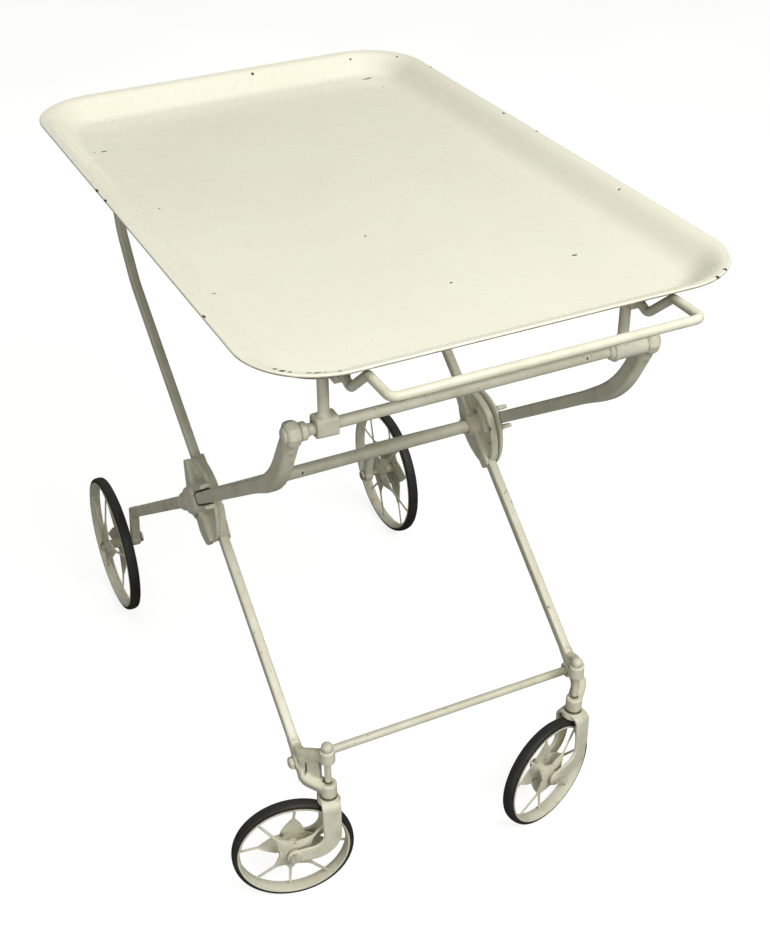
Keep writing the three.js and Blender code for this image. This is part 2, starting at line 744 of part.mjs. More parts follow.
function buildCasterLegs() {
  const legs = new THREE.Group();
  legs.add(piece('cross_bar', crossBar(), paint()));
  const barEnd = CASTER_LEG_X + 9;
  const lowerBar = pinX(LOWER_BAR_RADIUS, -barEnd, barEnd, LOWER_BAR_Y, LOWER_BAR_Z, 12);
  legs.add(piece('lower_cross_bar', lowerBar, paint()));
  const restEnd = CASTER_LEG_X + 8;
  const restRod = pinX(REST_RADIUS, -restEnd, restEnd, REST_Y, REST_Z, 12);
  legs.add(piece('rest_rod', restRod, paint()));
  for (const [name, side] of sides) {
    const nut = turnedX([[0, 0], [7.5, 0], [7, 3], [4.5, 5], [0, 5.6]], 12);
    if (side < 0) nut.rotateZ(Math.PI);
    nut.translate(side * (barEnd + GAP), LOWER_BAR_Y, LOWER_BAR_Z);
    const lowerLeg = sweep(casterSection(), casterLowerCorners(side), LEG_BEND, 5);
    legs.add(piece(`caster_leg_lower_bar_${name}`, lowerLeg, paint()));
    legs.add(piece(`caster_leg_upper_bar_${name}`, casterUpperBar(side), paint()));
    legs.add(piece(`caster_leg_knuckle_${name}`, casterLegKnuckle(side), paint()));
    legs.add(piece(`caster_bracket_${name}`, casterBracket(side), paint()));
    legs.add(piece(`lower_bar_nut_${name}`, nut, paint()));
  }
  return legs;
}

// ---- wheels, turning about X at their own origin ----

function wheelTyre(radius) {
  const inner = radius - TYRE_RADIAL;
  const w = TYRE_WIDTH / 2;
  return turnedX([
    [inner, -w + 1.5], [radius - 3, -w], [radius, -3], [radius, 3], [radius - 3, w],
    [inner, w - 1.5], [inner, -w + 1.5],
  ], WHEEL_SEGMENTS);
}

function wheelRim(radius) {
  const outer = radius - TYRE_RADIAL - GAP;
  const inner = outer - RIM_SHEET;
  const w = RIM_WIDTH / 2;
  return turnedX([[inner, -w], [outer, -w], [outer, w], [inner, w], [inner, -w]], WHEEL_SEGMENTS);
}

function wheelHub(length) {
  const bore = AXLE_RADIUS + 0.6;
  const w = length / 2;
  return turnedX([[bore, -w], [HUB_RADIUS, -w], [HUB_RADIUS, w], [bore, w], [bore, -w]], 12);
}

// A pressed star: its arms leave a plate at the hub's end and lean in to meet the rim's middle.
const STAR_SHEET = 1.8;
const STAR_DISC = 15; // radius of the flat middle
const STAR_ROOT = 13; // where an arm starts,
const STAR_ROOT_HALF = 8; // and its half width there,
const STAR_POINT_HALF = 2.4; // at the end of the plate's point,
const STAR_TIP_HALF = 1.6; // and at the rim
const STAR_TIP_OFFSET = 3; // how far off the wheel's middle plane an arm ends
const STAR_PLATE = 0.55; // how far out the plate's points reach, as a share of the arm

function wheelStar(radius, hubLength, end, spokes, phase) {
  const tip = (radius - TYRE_RADIAL - GAP - RIM_SHEET) * Math.cos(Math.PI / WHEEL_SEGMENTS) - 0.4;
  const root = HUB_RADIUS + 0.6;
  const outset = end * (hubLength / 2 - 3);
  const disc = combine(
    [pinX(STAR_DISC, outset - STAR_SHEET / 2, outset + STAR_SHEET / 2, 0, 0, 12)],
    [pinX(root, outset - STAR_SHEET, outset + STAR_SHEET, 0, 0, 12)],
  );
  const knee = STAR_PLATE * tip;
  const shift = end * STAR_TIP_OFFSET - outset;
  const lean = (r) => outset + shift * (r - STAR_ROOT) / (tip - STAR_ROOT);
  const stretches = [
    [STAR_ROOT, STAR_ROOT_HALF, knee, STAR_POINT_HALF],
    [knee - 0.5, STAR_POINT_HALF, tip, STAR_TIP_HALF],
  ];
  const arms = [];
  for (let k = 0; k < spokes; k += 1) {
    for (const [r0, half0, r1, half1] of stretches) {
      const arm = new THREE.BoxGeometry(STAR_SHEET, 1, 1);
      const position = arm.attributes.position;
      for (let i = 0; i < position.count; i += 1) {
        const far = position.getZ(i) > 0;
        const r = far ? r1 : r0;
        const half = far ? half1 : half0;
        position.setXYZ(i, position.getX(i) + lean(r), position.getY(i) * 2 * half, r);
      }
      const offset = phase + (end > 0 ? 0 : Math.PI / spokes);
      arms.push(arm.rotateX(offset + 2 * Math.PI * k / spokes - Math.PI / 2));
    }
  }
  return combine([disc, ...arms]);
}

function buildWheel(name, radius, hubLength, spokes, phase) {
  const wheel = new THREE.Group();
  wheel.add(piece(`${name}_tyre`, wheelTyre(radius), rubber()));
  wheel.add(piece(`${name}_rim`, wheelRim(radius), paint()));
  wheel.add(piece(`${name}_hub`, wheelHub(hubLength), paint()));
  wheel.add(piece(`${name}_outer_star`, wheelStar(radius, hubLength, 1, spokes, phase), paint()));
  wheel.add(piece(`${name}_inner_star`, wheelStar(radius, hubLength, -1, spokes, phase), paint()));
  return wheel;
}

// ---- casters, swivelling about Z; the axle lies along local X and trails along local Y ----

const CROWN_TOP = BRACKET_LOW - 0.5;
const CROWN_LOW = 136.5;
const FORK_WIDE = 21;
const FORK_IN = CASTER_HUB_LENGTH / 2 + 1.2;
const FORK_SHEET = 4.5;

function casterFork() {
  const out = FORK_IN + FORK_SHEET;
  const legs = [];
  for (const side of [-1, 1]) {
    const x = side * (FORK_IN + FORK_SHEET / 2);
    const corners = [
      point(x, 0, CROWN_LOW + 4),
      point(x, 0, 76),
      point(x, CASTER_TRAIL, CASTER_RADIUS),
    ];
    // A path that starts straight down turns its section, so the wide side comes first.
    legs.push(sweep(barSection(FORK_WIDE, FORK_SHEET, 1.5), corners, 26, 4));
    legs.push(pinX(10.5, x - FORK_SHEET / 2, x + FORK_SHEET / 2, CASTER_TRAIL, CASTER_RADIUS, 12));
  }
  const crown = turnedZ(
    [[0, CROWN_LOW + 1], [11.5, CROWN_LOW + 1], [11, CROWN_TOP - 2], [8, CROWN_TOP], [0, CROWN_TOP]],
    12,
  );
  const bridge = box(-out, out, -FORK_WIDE / 2, FORK_WIDE / 2, CROWN_LOW, CROWN_LOW + 5.5);
  return combine(
    [bridge, crown, ...legs],
    [
      rod(STEM_RADIUS + 0.5, point(0, 0, CROWN_LOW + 4), point(0, 0, 160), 12),
      pinX(AXLE_RADIUS + 0.5, -40, 40, CASTER_TRAIL, CASTER_RADIUS, 12),
    ],
  );
}

function casterStem() {
  return turnedZ([
    [0, CROWN_LOW + 4.5], [STEM_RADIUS, CROWN_LOW + 4.5], [STEM_RADIUS, EAR_TOP + 0.4],
    [6.5, EAR_TOP + 0.4], [6.5, EAR_TOP + 5], [4, EAR_TOP + 8.5], [0, EAR_TOP + 9.5],
  ], 12);
}

function casterAxle() {
  const out = FORK_IN + FORK_SHEET + 0.4;
  return combine([
    pinX(AXLE_RADIUS, -out - 1, out + 1, 0, 0),
    pinX(7, out, out + 3.5, 0, 0, 6),
    pinX(7, -out, -out - 3, 0, 0, 12),
  ]);
}

function buildCaster(name, side, axleAngle) {
  const caster = new THREE.Group();
  caster.position.set(side * STEM_X, STEM_Y, 0);
  caster.rotation.z = axleAngle;
  caster.add(piece(`caster_fork_${name}`, casterFork(), paint()));
  caster.add(piece(`caster_stem_${name}`, casterStem(), steel()));
  const axle = piece(`caster_axle_${name}`, casterAxle(), steel());
  axle.position.set(0, CASTER_TRAIL, CASTER_RADIUS);
  const wheel = buildWheel(
    `caster_wheel_${name}`, CASTER_RADIUS, CASTER_HUB_LENGTH, CASTER_SPOKES, CASTER_PHASE,
  );
  wheel.position.copy(axle.position);
  caster.add(axle, wheel);
  return caster;
}

// ---- the whole cart ----

const cart = new THREE.Group();
cart.position.z = -PAN_FLOOR;
cart.add(buildTray(), buildAxleLegs(), buildCasterLegs());
for (const [name, side] of sides) {
  const wheel = buildWheel(`rear_wheel_${name}`, REAR_RADIUS, REAR_HUB_LENGTH, REAR_SPOKES, REAR_PHASE);
  wheel.position.set(side * REAR_X, REAR_Y, REAR_RADIUS);
  wheel.rotation.z = side < 0 ? Math.PI : 0;
  cart.add(wheel);
}
cart.add(buildCaster('left', -1, LEFT_SWIVEL));
cart.add(buildCaster('right', 1, RIGHT_SWIVEL));

export default cart;
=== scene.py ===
"""A folding serving cart: fine meshes and enamel, rubber and steel finishes around the CAD frame."""

import json
import math

import bmesh
import bpy
from mathutils import Matrix, Vector, noise


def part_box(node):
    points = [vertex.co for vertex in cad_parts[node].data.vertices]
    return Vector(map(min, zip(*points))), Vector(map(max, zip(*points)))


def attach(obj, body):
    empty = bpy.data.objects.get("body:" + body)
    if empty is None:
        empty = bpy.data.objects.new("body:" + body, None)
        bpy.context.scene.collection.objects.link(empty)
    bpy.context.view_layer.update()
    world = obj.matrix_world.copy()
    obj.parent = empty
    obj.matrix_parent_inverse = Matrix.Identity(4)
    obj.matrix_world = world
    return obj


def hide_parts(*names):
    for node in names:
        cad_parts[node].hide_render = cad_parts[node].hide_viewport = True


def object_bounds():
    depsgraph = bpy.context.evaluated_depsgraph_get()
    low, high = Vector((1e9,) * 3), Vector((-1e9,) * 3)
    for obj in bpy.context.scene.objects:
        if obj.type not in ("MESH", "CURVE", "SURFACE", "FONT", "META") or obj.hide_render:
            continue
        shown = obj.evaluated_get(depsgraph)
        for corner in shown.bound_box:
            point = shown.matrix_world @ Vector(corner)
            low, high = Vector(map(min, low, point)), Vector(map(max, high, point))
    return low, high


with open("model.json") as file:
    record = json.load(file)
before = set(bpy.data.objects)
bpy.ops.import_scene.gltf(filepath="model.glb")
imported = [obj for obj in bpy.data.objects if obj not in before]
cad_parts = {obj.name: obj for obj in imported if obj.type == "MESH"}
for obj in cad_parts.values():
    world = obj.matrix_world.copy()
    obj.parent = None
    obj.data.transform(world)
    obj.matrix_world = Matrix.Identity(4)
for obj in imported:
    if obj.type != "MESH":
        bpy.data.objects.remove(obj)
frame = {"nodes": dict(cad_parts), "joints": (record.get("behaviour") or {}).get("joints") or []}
cad_box = [list(corner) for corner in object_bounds()]

# ---- places taken from the frame, in metres ----

MM = 0.001
X_AXIS = Vector((1, 0, 0))
Z_AXIS = Vector((0, 0, 1))
JOINTS = {joint["name"]: joint for joint in frame["joints"]}


def joint_at(name):
    return Vector(JOINTS[name]["pos_m"])


def joint_axis(name):
    return Vector(JOINTS[name]["axis"]).normalized()


GROUND = cad_box[0][2]
HINGE = joint_at("tray_tilt")
PIVOT = joint_at("fold")
REAR = joint_at("rear_spin_right")
STEM = joint_at("caster_swivel_right")
PAN_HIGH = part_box("tray_pan")[1]
BAR_LOW, BAR_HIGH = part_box("axle_leg_bar_right")
TAIL_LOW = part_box("axle_leg_tail_right")[0]
LOWER_LOW, LOWER_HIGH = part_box("caster_leg_lower_bar_right")
SIDES = (("left", -1), ("right", 1))
PAST = 10 * MM  # how far a cutter runs past the piece that it cuts


def height(value):
    """Metres above the ground, from millimetres, as a height in the row frame."""
    return GROUND + value * MM


def spot(x, y, above):
    """A point from millimetres, with its height above the ground."""
    return Vector((x * MM, y * MM, height(above)))


def at_x(x, centre=PIVOT):
    """The point at x on the line along X through a centre."""
    return Vector((x, centre.y, centre.z))


def in_mm(*pairs):
    """Pairs in millimetres as pairs in metres."""
    return [(a * MM, b * MM) for a, b in pairs]


# ---- mesh helpers ----

def new_object(name, vertices, faces):
    mesh = bpy.data.meshes.new(name)
    mesh.from_pydata([tuple(v) for v in vertices], [], faces)
    mesh.validate()
    obj = bpy.data.objects.new(name, mesh)
    bpy.context.scene.collection.objects.link(obj)
    shell = bmesh.new()
    shell.from_mesh(mesh)
    bmesh.ops.remove_doubles(shell, verts=shell.verts, dist=1e-7)
    bmesh.ops.recalc_face_normals(shell, faces=shell.faces)
    shell.to_mesh(mesh)
    shell.free()
    return obj


def loft(rings, caps=True, loop=False):
    """Vertices and faces of a skin over equal rings."""
    count = len(rings[0])
    vertices = [v for ring in rings for v in ring]
    faces = []
    rows = len(rings) if loop else len(rings) - 1
    for row in range(rows):
        a = row * count
        b = (row + 1) % len(rings) * count
        for k in range(count):
            n = (k + 1) % count
            faces.append((a + k, a + n, b + n, b + k))
    if caps and not loop:
        faces.append(tuple(reversed(range(count))))
        faces.append(tuple(range((len(rings) - 1) * count, len(rings) * count)))
    return vertices, faces


def rounded(corners, radius, steps=8):
    """The corners of a path with each inner corner turned into an arc."""
    stations = [corners[0]]
    for before, corner, after in zip(corners, corners[1:], corners[2:]):
        into = (corner - before).normalized()
        out = (after - corner).normalized()
        turn = into.angle(out)
        if turn < 1e-4:
            stations.append(corner)
            continue
        start = corner - into * radius * math.tan(turn / 2)
        side = (out - into * out.dot(into)).normalized()
        for k in range(steps + 1):
            angle = turn * k / steps
            ahead = into * radius * math.sin(angle)
            stations.append(start + ahead + side * radius * (1 - math.cos(angle)))
    stations.append(corners[-1])
    return stations


def evenly(stations, count):
    """The same line with `count` stations an even distance apart."""
    reaches = [0.0]
    for a, b in zip(stations, stations[1:]):
        reaches.append(reaches[-1] + (b - a).length)
    spread = []
    i = 0
    for k in range(count):
        goal = reaches[-1] * k / (count - 1)
        while i < len(stations) - 2 and reaches[i + 1] < goal:
            i += 1
        share = (goal - reaches[i]) / (reaches[i + 1] - reaches[i])
        spread.append(stations[i].lerp(stations[i + 1], min(max(share, 0), 1)))
    return spread


def sweep(stations, section, side=X_AXIS, scale=None):
    """A closed solid: a section of (across, deep) pairs carried along the stations."""
    rings = []
    across = side.copy()
    for i, here in enumerate(stations):
        before = stations[max(i - 1, 0)]
        after = stations[min(i + 1, len(stations) - 1)]
        tangent = (after - before).normalized()
        across = (across - tangent * across.dot(tangent)).normalized()
        deep = tangent.cross(across)
        size = scale(i / (len(stations) - 1)) if scale else 1
        rings.append([here + across * u * size + deep * v * size for u, v in section])
    return loft(rings)


def circle(radius, sides=24):
    angles = [2 * math.pi * k / sides for k in range(sides)]
    return [(radius * math.cos(angle), radius * math.sin(angle)) for angle in angles]


def soft_rectangle(across, deep, corner, steps=4):
    points = []
    for quarter, (sx, sy) in enumerate(((1, 1), (-1, 1), (-1, -1), (1, -1))):
        for k in range(steps + 1):
            angle = (quarter + k / steps) * math.pi / 2
            x = sx * (across / 2 - corner) + corner * math.cos(angle)
            y = sy * (deep / 2 - corner) + corner * math.sin(angle)
            points.append((x, y))
    return points


def turned(profile, origin, along, sides=64, loop=False):
    """A solid of revolution from (radius, distance along) pairs."""
    turn = Z_AXIS.rotation_difference(along)
    rings = []
    for radius, reach in profile:
        ring = []
        for k in range(sides):
            angle = 2 * math.pi * k / sides
            ring.append(origin + turn @ Vector((radius * math.cos(angle), radius * math.sin(angle), reach)))
        rings.append(ring)
    return loft(rings, loop=loop)


def cylinder(start, end, radius, end_radius=None, sides=32):
    along = end - start
    far = radius if end_radius is None else end_radius
    return turned([(radius, 0), (far, along.length)], start, along.normalized(), sides)


def cross_cylinder(centre, start, end, radius, end_radius=None):
    """A round bar along X, from one distance to another from a centre."""
    return cylinder(centre + X_AXIS * start, centre + X_AXIS * end, radius, end_radius)


def block(low, high):
    xs, ys, zs = zip(low, high)
    vertices = [(x, y, z) for x in xs for y in ys for z in zs]
    faces = [(0, 1, 3, 2), (4, 6, 7, 5), (0, 4, 5, 1), (2, 3, 7, 6), (0, 2, 6, 4), (1, 5, 7, 3)]
    return vertices, faces


def plate(outline, origin, u, v, thick):
    """An outline of (u, v) pairs, extruded by `thick` along u x v, centred on the origin."""
    normal = u.cross(v).normalized() * thick / 2
    flat = [origin + u * a + v * b for a, b in outline]
    return loft([[p - normal for p in flat], [p + normal for p in flat]])


def join(solids):
    vertices = []
    faces = []
    for part_vertices, part_faces in solids:
        start = len(vertices)
        vertices.extend(part_vertices)
        faces.extend(tuple(i + start for i in face) for face in part_faces)
    return vertices, faces


def apply_modifiers(obj):
    bpy.context.view_layer.update()
    graph = bpy.context.evaluated_depsgraph_get()
    mesh = bpy.data.meshes.new_from_object(obj.evaluated_get(graph))
    obj.modifiers.clear()
    obj.data = mesh
    return obj


def remesh(obj, voxel):
    modifier = obj.modifiers.new("voxels", "REMESH")
    modifier.mode = "VOXEL"
    modifier.voxel_size = voxel
    return apply_modifiers(obj)


def smooth(obj, rounds, strength=0.5):
    modifier = obj.modifiers.new("smooth", "SMOOTH")
    modifier.iterations = rounds
    modifier.factor = strength
    return apply_modifiers(obj)


def shade(obj, angle=35):
    obj.data.shade_smooth()
    obj.data.set_sharp_from_angle(angle=math.radians(angle))
    return obj


def cast(name, add, cut=(), voxel=0.9, rounds=3, keep=0.4):
    """One casting: solids run together with soft fillets, then hollows cut and softened."""
    obj = new_object(name, *join(add))
    remesh(obj, voxel * MM)
    if cut:
        tool = remesh(new_object(name + "_cut", *join(cut)), voxel * MM)
        modifier = obj.modifiers.new("cut", "BOOLEAN")
        modifier.operation = "DIFFERENCE"
        modifier.object = tool
        apply_modifiers(obj)
        bpy.data.objects.remove(tool)
        remesh(obj, voxel * MM)
    smooth(obj, rounds)
    modifier = obj.modifiers.new("thin", "DECIMATE")
    modifier.ratio = keep
    apply_modifiers(obj)
    return shade(obj, 60)


def mirrored(obj, name):
    """The left-hand twin of a right-hand piece."""
    mesh = obj.data.copy()
    mesh.transform(Matrix.Scale(-1, 4, X_AXIS))
    mesh.flip_normals()
    twin = bpy.data.objects.new(name, mesh)
    bpy.context.scene.collection.objects.link(twin)
    return twin


def moved(obj, matrix):
    obj.data.transform(matrix)
    return obj


# ---- materials ----

def rgb(red, green, blue):
    """Screen values from 0 to 255 as linear colour."""
    def linear(value):
        share = value / 255
        return share / 12.92 if share <= 0.04045 else ((share + 0.055) / 1.055) ** 2.4
    return (linear(red), linear(green), linear(blue), 1)


class Nodes:
    """Short names for the shader nodes of one material."""

    def __init__(self, name):
        self.material = bpy.data.materials.new(name)
        self.material.use_nodes = True
        self.tree = self.material.node_tree
        self.shader = self.tree.nodes["Principled BSDF"]
        self.place = self.add("ShaderNodeTexCoord").outputs["Object"]

    def add(self, kind, **settings):
        node = self.tree.nodes.new(kind)
        for key, value in settings.items():
            setattr(node, key, value)
        return node

    def link(self, source, target):
        if hasattr(source, "links") or hasattr(source, "is_linked"):
            self.tree.links.new(source, target)
        else:
            target.default_value = source

    def noise(self, scale, detail=3, rough=0.5, stretch=None, seed=0):
        node = self.add("ShaderNodeTexNoise", noise_dimensions="4D")
        place = self.place
        if stretch:
            mapping = self.add("ShaderNodeMapping")
            mapping.inputs["Scale"].default_value = stretch
            self.link(place, mapping.inputs["Vector"])
            place = mapping.outputs["Vector"]
        self.link(place, node.inputs["Vector"])
        node.inputs["Scale"].default_value = scale
        node.inputs["Detail"].default_value = detail
        node.inputs["Roughness"].default_value = rough
        node.inputs["W"].default_value = seed
        return node.outputs["Fac"]

    def ramp(self, source, low, high, start=0.0, end=1.0):
        """Maps low..high to start..end, held at the ends."""
        node = self.add("ShaderNodeMapRange", clamp=True)
        self.link(source, node.inputs["Value"])
        node.inputs["From Min"].default_value = low
        node.inputs["From Max"].default_value = high
        node.inputs["To Min"].default_value = start
        node.inputs["To Max"].default_value = end
        return node.outputs["Result"]

    def math(self, operation, a, b=0.0):
        node = self.add("ShaderNodeMath", operation=operation)
        self.link(a, node.inputs[0])
        self.link(b, node.inputs[1])
        return node.outputs[0]

    def times(self, a, b):
        return self.math("MULTIPLY", a, b)

    def plus(self, a, b):
        return self.math("ADD", a, b)

    def minus(self, a, b):
        return self.math("SUBTRACT", a, b)

    def most(self, a, b):
        return self.math("MAXIMUM", a, b)

    def mix(self, share, a, b):
        node = self.add("ShaderNodeMix", data_type="RGBA")
        self.link(share, node.inputs[0])
        self.link(a, node.inputs[6])
        self.link(b, node.inputs[7])
        return node.outputs[2]

    def marks(self, places, size, scale=420):
        """1 inside each ragged patch: a centre and half sizes in millimetres, on two or three axes."""
        ragged = self.times(self.noise(scale, 4, 0.6), size)
        split = self.add("ShaderNodeSeparateXYZ")
        self.link(self.place, split.inputs[0])
        total = 0.0
        for place in places:
            axes = len(place) // 2
            reach = ragged
            for axis in range(axes):
                middle = place[axis] * MM + (GROUND if axis == 2 else 0)
                away = self.minus(split.outputs[axis], middle)
                away = self.math("DIVIDE", away, place[axes + axis] * MM)
                reach = self.plus(reach, self.times(away, away))
            total = self.most(total, self.ramp(reach, 1.1, 0.9))
        return total

    def crevice(self, distance):
        node = self.add("ShaderNodeAmbientOcclusion", samples=6, only_local=False)
        node.inputs["Distance"].default_value = distance
        return self.minus(1.0, node.outputs["AO"])

    def facing_down(self, high, low):
        split = self.add("ShaderNodeSeparateXYZ")
        self.link(self.add("ShaderNodeNewGeometry").outputs["True Normal"], split.inputs[0])
        return self.ramp(split.outputs[2], high, low)

    def edges(self, low, high):
        return self.ramp(self.add("ShaderNodeNewGeometry").outputs["Pointiness"], low, high)

    def finish(self, colour, roughness, bump=None, strength=0.3, distance=0.0005, **settings):
        self.link(colour, self.shader.inputs["Base Color"])
        self.link(roughness, self.shader.inputs["Roughness"])
        for key, value in settings.items():
            self.link(value, self.shader.inputs[key.replace("_", " ")])
        if bump is not None:
            node = self.add("ShaderNodeBump")
            node.inputs["Strength"].default_value = strength
            node.inputs["Distance"].default_value = distance
            self.link(bump, node.inputs["Height"])
            self.link(node.outputs["Normal"], self.shader.inputs["Normal"])
        return self.material


BARE = rgb(52, 44, 34)

# Chips in the tray's enamel: x, y, half width, half depth, in millimetres. Most of the places on
# the rim and the floor were worked out from the photo by a separate program, not from the frame.
RIM_CHIPS = [
    (-231, -360, 3.0, 2.4), (-227, -366, 3.6, 3.0), (-222, -371, 2.6, 2.0), (-208, -379, 3.4, 2.2),
    (-201, -382, 5.6, 2.6), (-195, -384, 2.4, 1.6), (-184, -389, 2.6, 1.3), (44, 381, 2.6, 2.4),
    (-253, 88, 1.8, 5.5), (-253, 57, 1.8, 4.5), (203, -388, 3.4, 1.8), (219, -378, 2.6, 2.6),
    (249, 88, 1.6, 3.5), (252, 17, 1.4, 2.6), (-252, -243, 1.8, 4.2), (196, 306, 1.6, 1.6),
    (252, 280, 1.4, 2.2),
]
FLOOR_CHIPS = [
    (191, 345, 8.5, 1.7), (183, 378, 1.8, 1.6), (236, 346, 2.2, 1.4), (-196, 258, 5.5, 2.0),
    (-207, 260, 1.6, 1.4), (-192, 66, 1.8, 1.5), (-25, -104, 1.7, 1.9), (2, -241, 1.9, 1.7),
    (141, -243, 4.2, 1.9), (243, -166, 2.0, 1.6), (-212, -157, 2.6, 1.4),
]
FLOOR_SCUFFS = [
    (-82, -246, 9, 3), (-64, -269, 8, 2.5), (60, 120, 14, 3), (-140, -60, 4, 12), (200, -330, 3, 14),
]
# Chips on the frame: x, y, height above the ground, then three half sizes.
FRAME_CHIPS = [
    (-146, -434, 743, 10, 5, 3.2), (-158, -402, 745, 5, 4, 4), (153, -433, 743, 4, 5, 3),
    (157, -386, 747, 4, 2.6, 5), (-62, 6, 386, 2.6, 5, 3.4), (-190, -284, 628, 5, 4, 3.4),
    (-197, -150, 514, 8, 3.4, 3), (120, -309, 655, 2.4, 5, 3), (-197, 120, 312, 8, 3, 2.4),
    (181, 160, 508, 8, 3, 2.6),
]
# Rust round the casters' stems: at the crown's seam and on top of the lower ear.
RUST_RINGS = [
    (side * STEM.x / MM, STEM.y / MM, above, wide, wide, tall)
    for _, side in SIDES for above, wide, tall in ((146, 17, 2.8), (167, 9, 2.4), (196, 9, 1.6))
]


def tray_enamel():
    n = Nodes("tray_enamel")
    cloud = n.ramp(n.noise(5, 3, seed=2), 0.35, 0.65)
    patch = n.ramp(n.noise(17, 4, 0.55, seed=5), 0.4, 0.7)
    fine = n.noise(160, 3, seed=1)
    colour = n.mix(cloud, rgb(231, 230, 212), rgb(228, 226, 205))
    colour = n.mix(n.times(patch, 0.35), colour, rgb(232, 226, 208))
    # Painted shade: the pan's cove and walls are darkened where the occlusion node finds floor and wall
    # close together.
    wall = n.ramp(n.crevice(0.03), 0.1, 0.8, 0.0, 0.3)
    colour = n.mix(wall, colour, rgb(176, 170, 138))
    scuff = n.times(n.marks(FLOOR_SCUFFS, 0.9), n.ramp(fine, 0.45, 0.6, 0.0, 0.35))
    colour = n.mix(scuff, colour, rgb(196, 188, 164))
    # Painted shade, with some grime: faces that point down, such as the rim bead's underside, are darkened
    # brown grey, mottled by noise.
    under = n.times(
        n.facing_down(0.42, 0.05), n.ramp(n.noise(60, 4, 0.6, seed=11), 0.3, 0.7, 0.45, 0.95))
    colour = n.mix(under, colour, rgb(112, 98, 74))
    chips = n.most(n.marks(RIM_CHIPS, 0.8), n.marks(FLOOR_CHIPS, 0.8))
    specks = n.ramp(n.noise(95, 2, 0.4, seed=9), 0.80, 0.81)
    chips = n.most(chips, n.times(specks, 0.8))
    colour = n.mix(chips, colour, BARE)
    rough = n.ramp(n.noise(40, 4, seed=4), 0.3, 0.7, 0.24, 0.36)
    rough = n.plus(rough, n.times(chips, 0.4))
    peel = n.minus(n.noise(55, 2, seed=7), n.times(chips, 1.5))
    return n.finish(
        colour, rough, peel, strength=0.15, distance=0.0003, Coat_Weight=0.25, Coat_Roughness=0.12)


def frame_enamel(name, wear=1.0, grime=1.0, warm=0.5):
    """Ivory enamel: stained in patches, dirty in hollows, chipped on edges and in placed marks."""
    n = Nodes(name)
    patch = n.ramp(n.noise(22, 4, 0.6, seed=3), 0.35, 0.68)
    colour = n.mix(patch, rgb(222, 220, 200), rgb(206, 203, 178))
    stain = n.ramp(n.noise(48, 5, 0.65, seed=6), 0.52, 0.72, 0.0, 0.5 * warm)
    colour = n.mix(stain, colour, rgb(186, 168, 132))
    brush = n.noise(140, 3, 0.5, stretch=(1, 0.12, 0.12), seed=8)
    hollow = n.crevice(0.012)
    uneven = n.noise(90, 4, 0.6, seed=10)
    dirt = n.times(n.ramp(hollow, 0.3, 0.95), n.ramp(uneven, 0.25, 0.7, 0.35, 1.0))
    colour = n.mix(n.times(dirt, 0.62 * grime), colour, rgb(92, 76, 48))
    rust = n.times(n.marks(RUST_RINGS, 0.8, 200), 0.62 * grime)
    colour = n.mix(rust, colour, rgb(84, 66, 42))
    chips = n.times(n.edges(0.53, 0.62), n.ramp(n.noise(110, 6, 0.6, seed=12), 0.62, 0.66))
    chips = n.times(chips, wear)
    chips = n.most(chips, n.marks(FRAME_CHIPS, 1.5, 230))
    colour = n.mix(chips, colour, BARE)
    rough = n.ramp(n.noise(60, 4, seed=13), 0.3, 0.7, 0.34, 0.5)
    rough = n.plus(rough, n.times(chips, 0.3))
    relief = n.plus(n.times(brush, 0.4), n.noise(75, 4, 0.6, seed=15))
    relief = n.minus(relief, n.times(chips, 1.2))
    return n.finish(colour, rough, relief, strength=0.35, Coat_Weight=0.1, Coat_Roughness=0.3)


def tyre_rubber():
    n = Nodes("tyre_rubber")
    dust = n.ramp(n.noise(35, 5, 0.65, seed=1), 0.45, 0.75, 0.0, 0.5)
    colour = n.mix(dust, rgb(31, 31, 28), rgb(66, 64, 54))
    scuffs = n.ramp(n.noise(260, 3, 0.6, seed=4), 0.62, 0.72, 0.0, 0.5)
    colour = n.mix(scuffs, colour, rgb(88, 84, 70))
    rough = n.ramp(n.noise(80, 4, seed=2), 0.3, 0.7, 0.5, 0.72)
    grain = n.noise(500, 4, 0.7, seed=3)
    return n.finish(colour, rough, grain, strength=0.35, distance=0.0004)


def pin_steel():
    n = Nodes("pin_steel")
    paint = n.ramp(n.noise(60, 5, 0.6, seed=2), 0.36, 0.5)
    colour = n.mix(paint, rgb(110, 98, 78), rgb(205, 200, 178))
    rust = n.ramp(n.noise(120, 5, 0.65, seed=5), 0.55, 0.72, 0.0, 0.7)
    colour = n.mix(rust, colour, rgb(104, 78, 46))
    metal = n.minus(0.7, n.times(paint, 0.7))
    rough = n.ramp(n.noise(200, 3, seed=6), 0.3, 0.7, 0.35, 0.55)
    return n.finish(colour, rough, n.noise(180, 4, seed=7), strength=0.3, Metallic=metal)


TRAY = tray_enamel()
FRAME = frame_enamel("frame_enamel", wear=0.9, grime=0.9, warm=0.5)
CASTING = frame_enamel("casting_enamel", wear=1.0, grime=1.5, warm=1.1)
WHEEL = frame_enamel("wheel_enamel", wear=1.0, grime=1.25, warm=1.4)
RUBBER = tyre_rubber()
STEEL = pin_steel()


def settle(obj, body, material, *nodes):
    """Paints a finished piece, rides it on its body and lets it stand for its CAD nodes."""
    obj.data.materials.clear()
    obj.data.materials.append(material)
    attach(obj, body)
    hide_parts(*nodes)
    return obj


def place_solid(node, solid, body, material):
    """A fine solid in place of one CAD node."""
    return settle(shade(new_object(f"{node}_fine", *solid)), body, material, node)


def settle_pair(right, node, body, material):
    """Settles a right-hand piece and its mirrored left-hand twin."""
    left = mirrored(right, f"{node}_left_fine")
    settle(right, body, material, f"{node}_right")
    settle(left, body, material, f"{node}_left")


# ---- tray pan ----

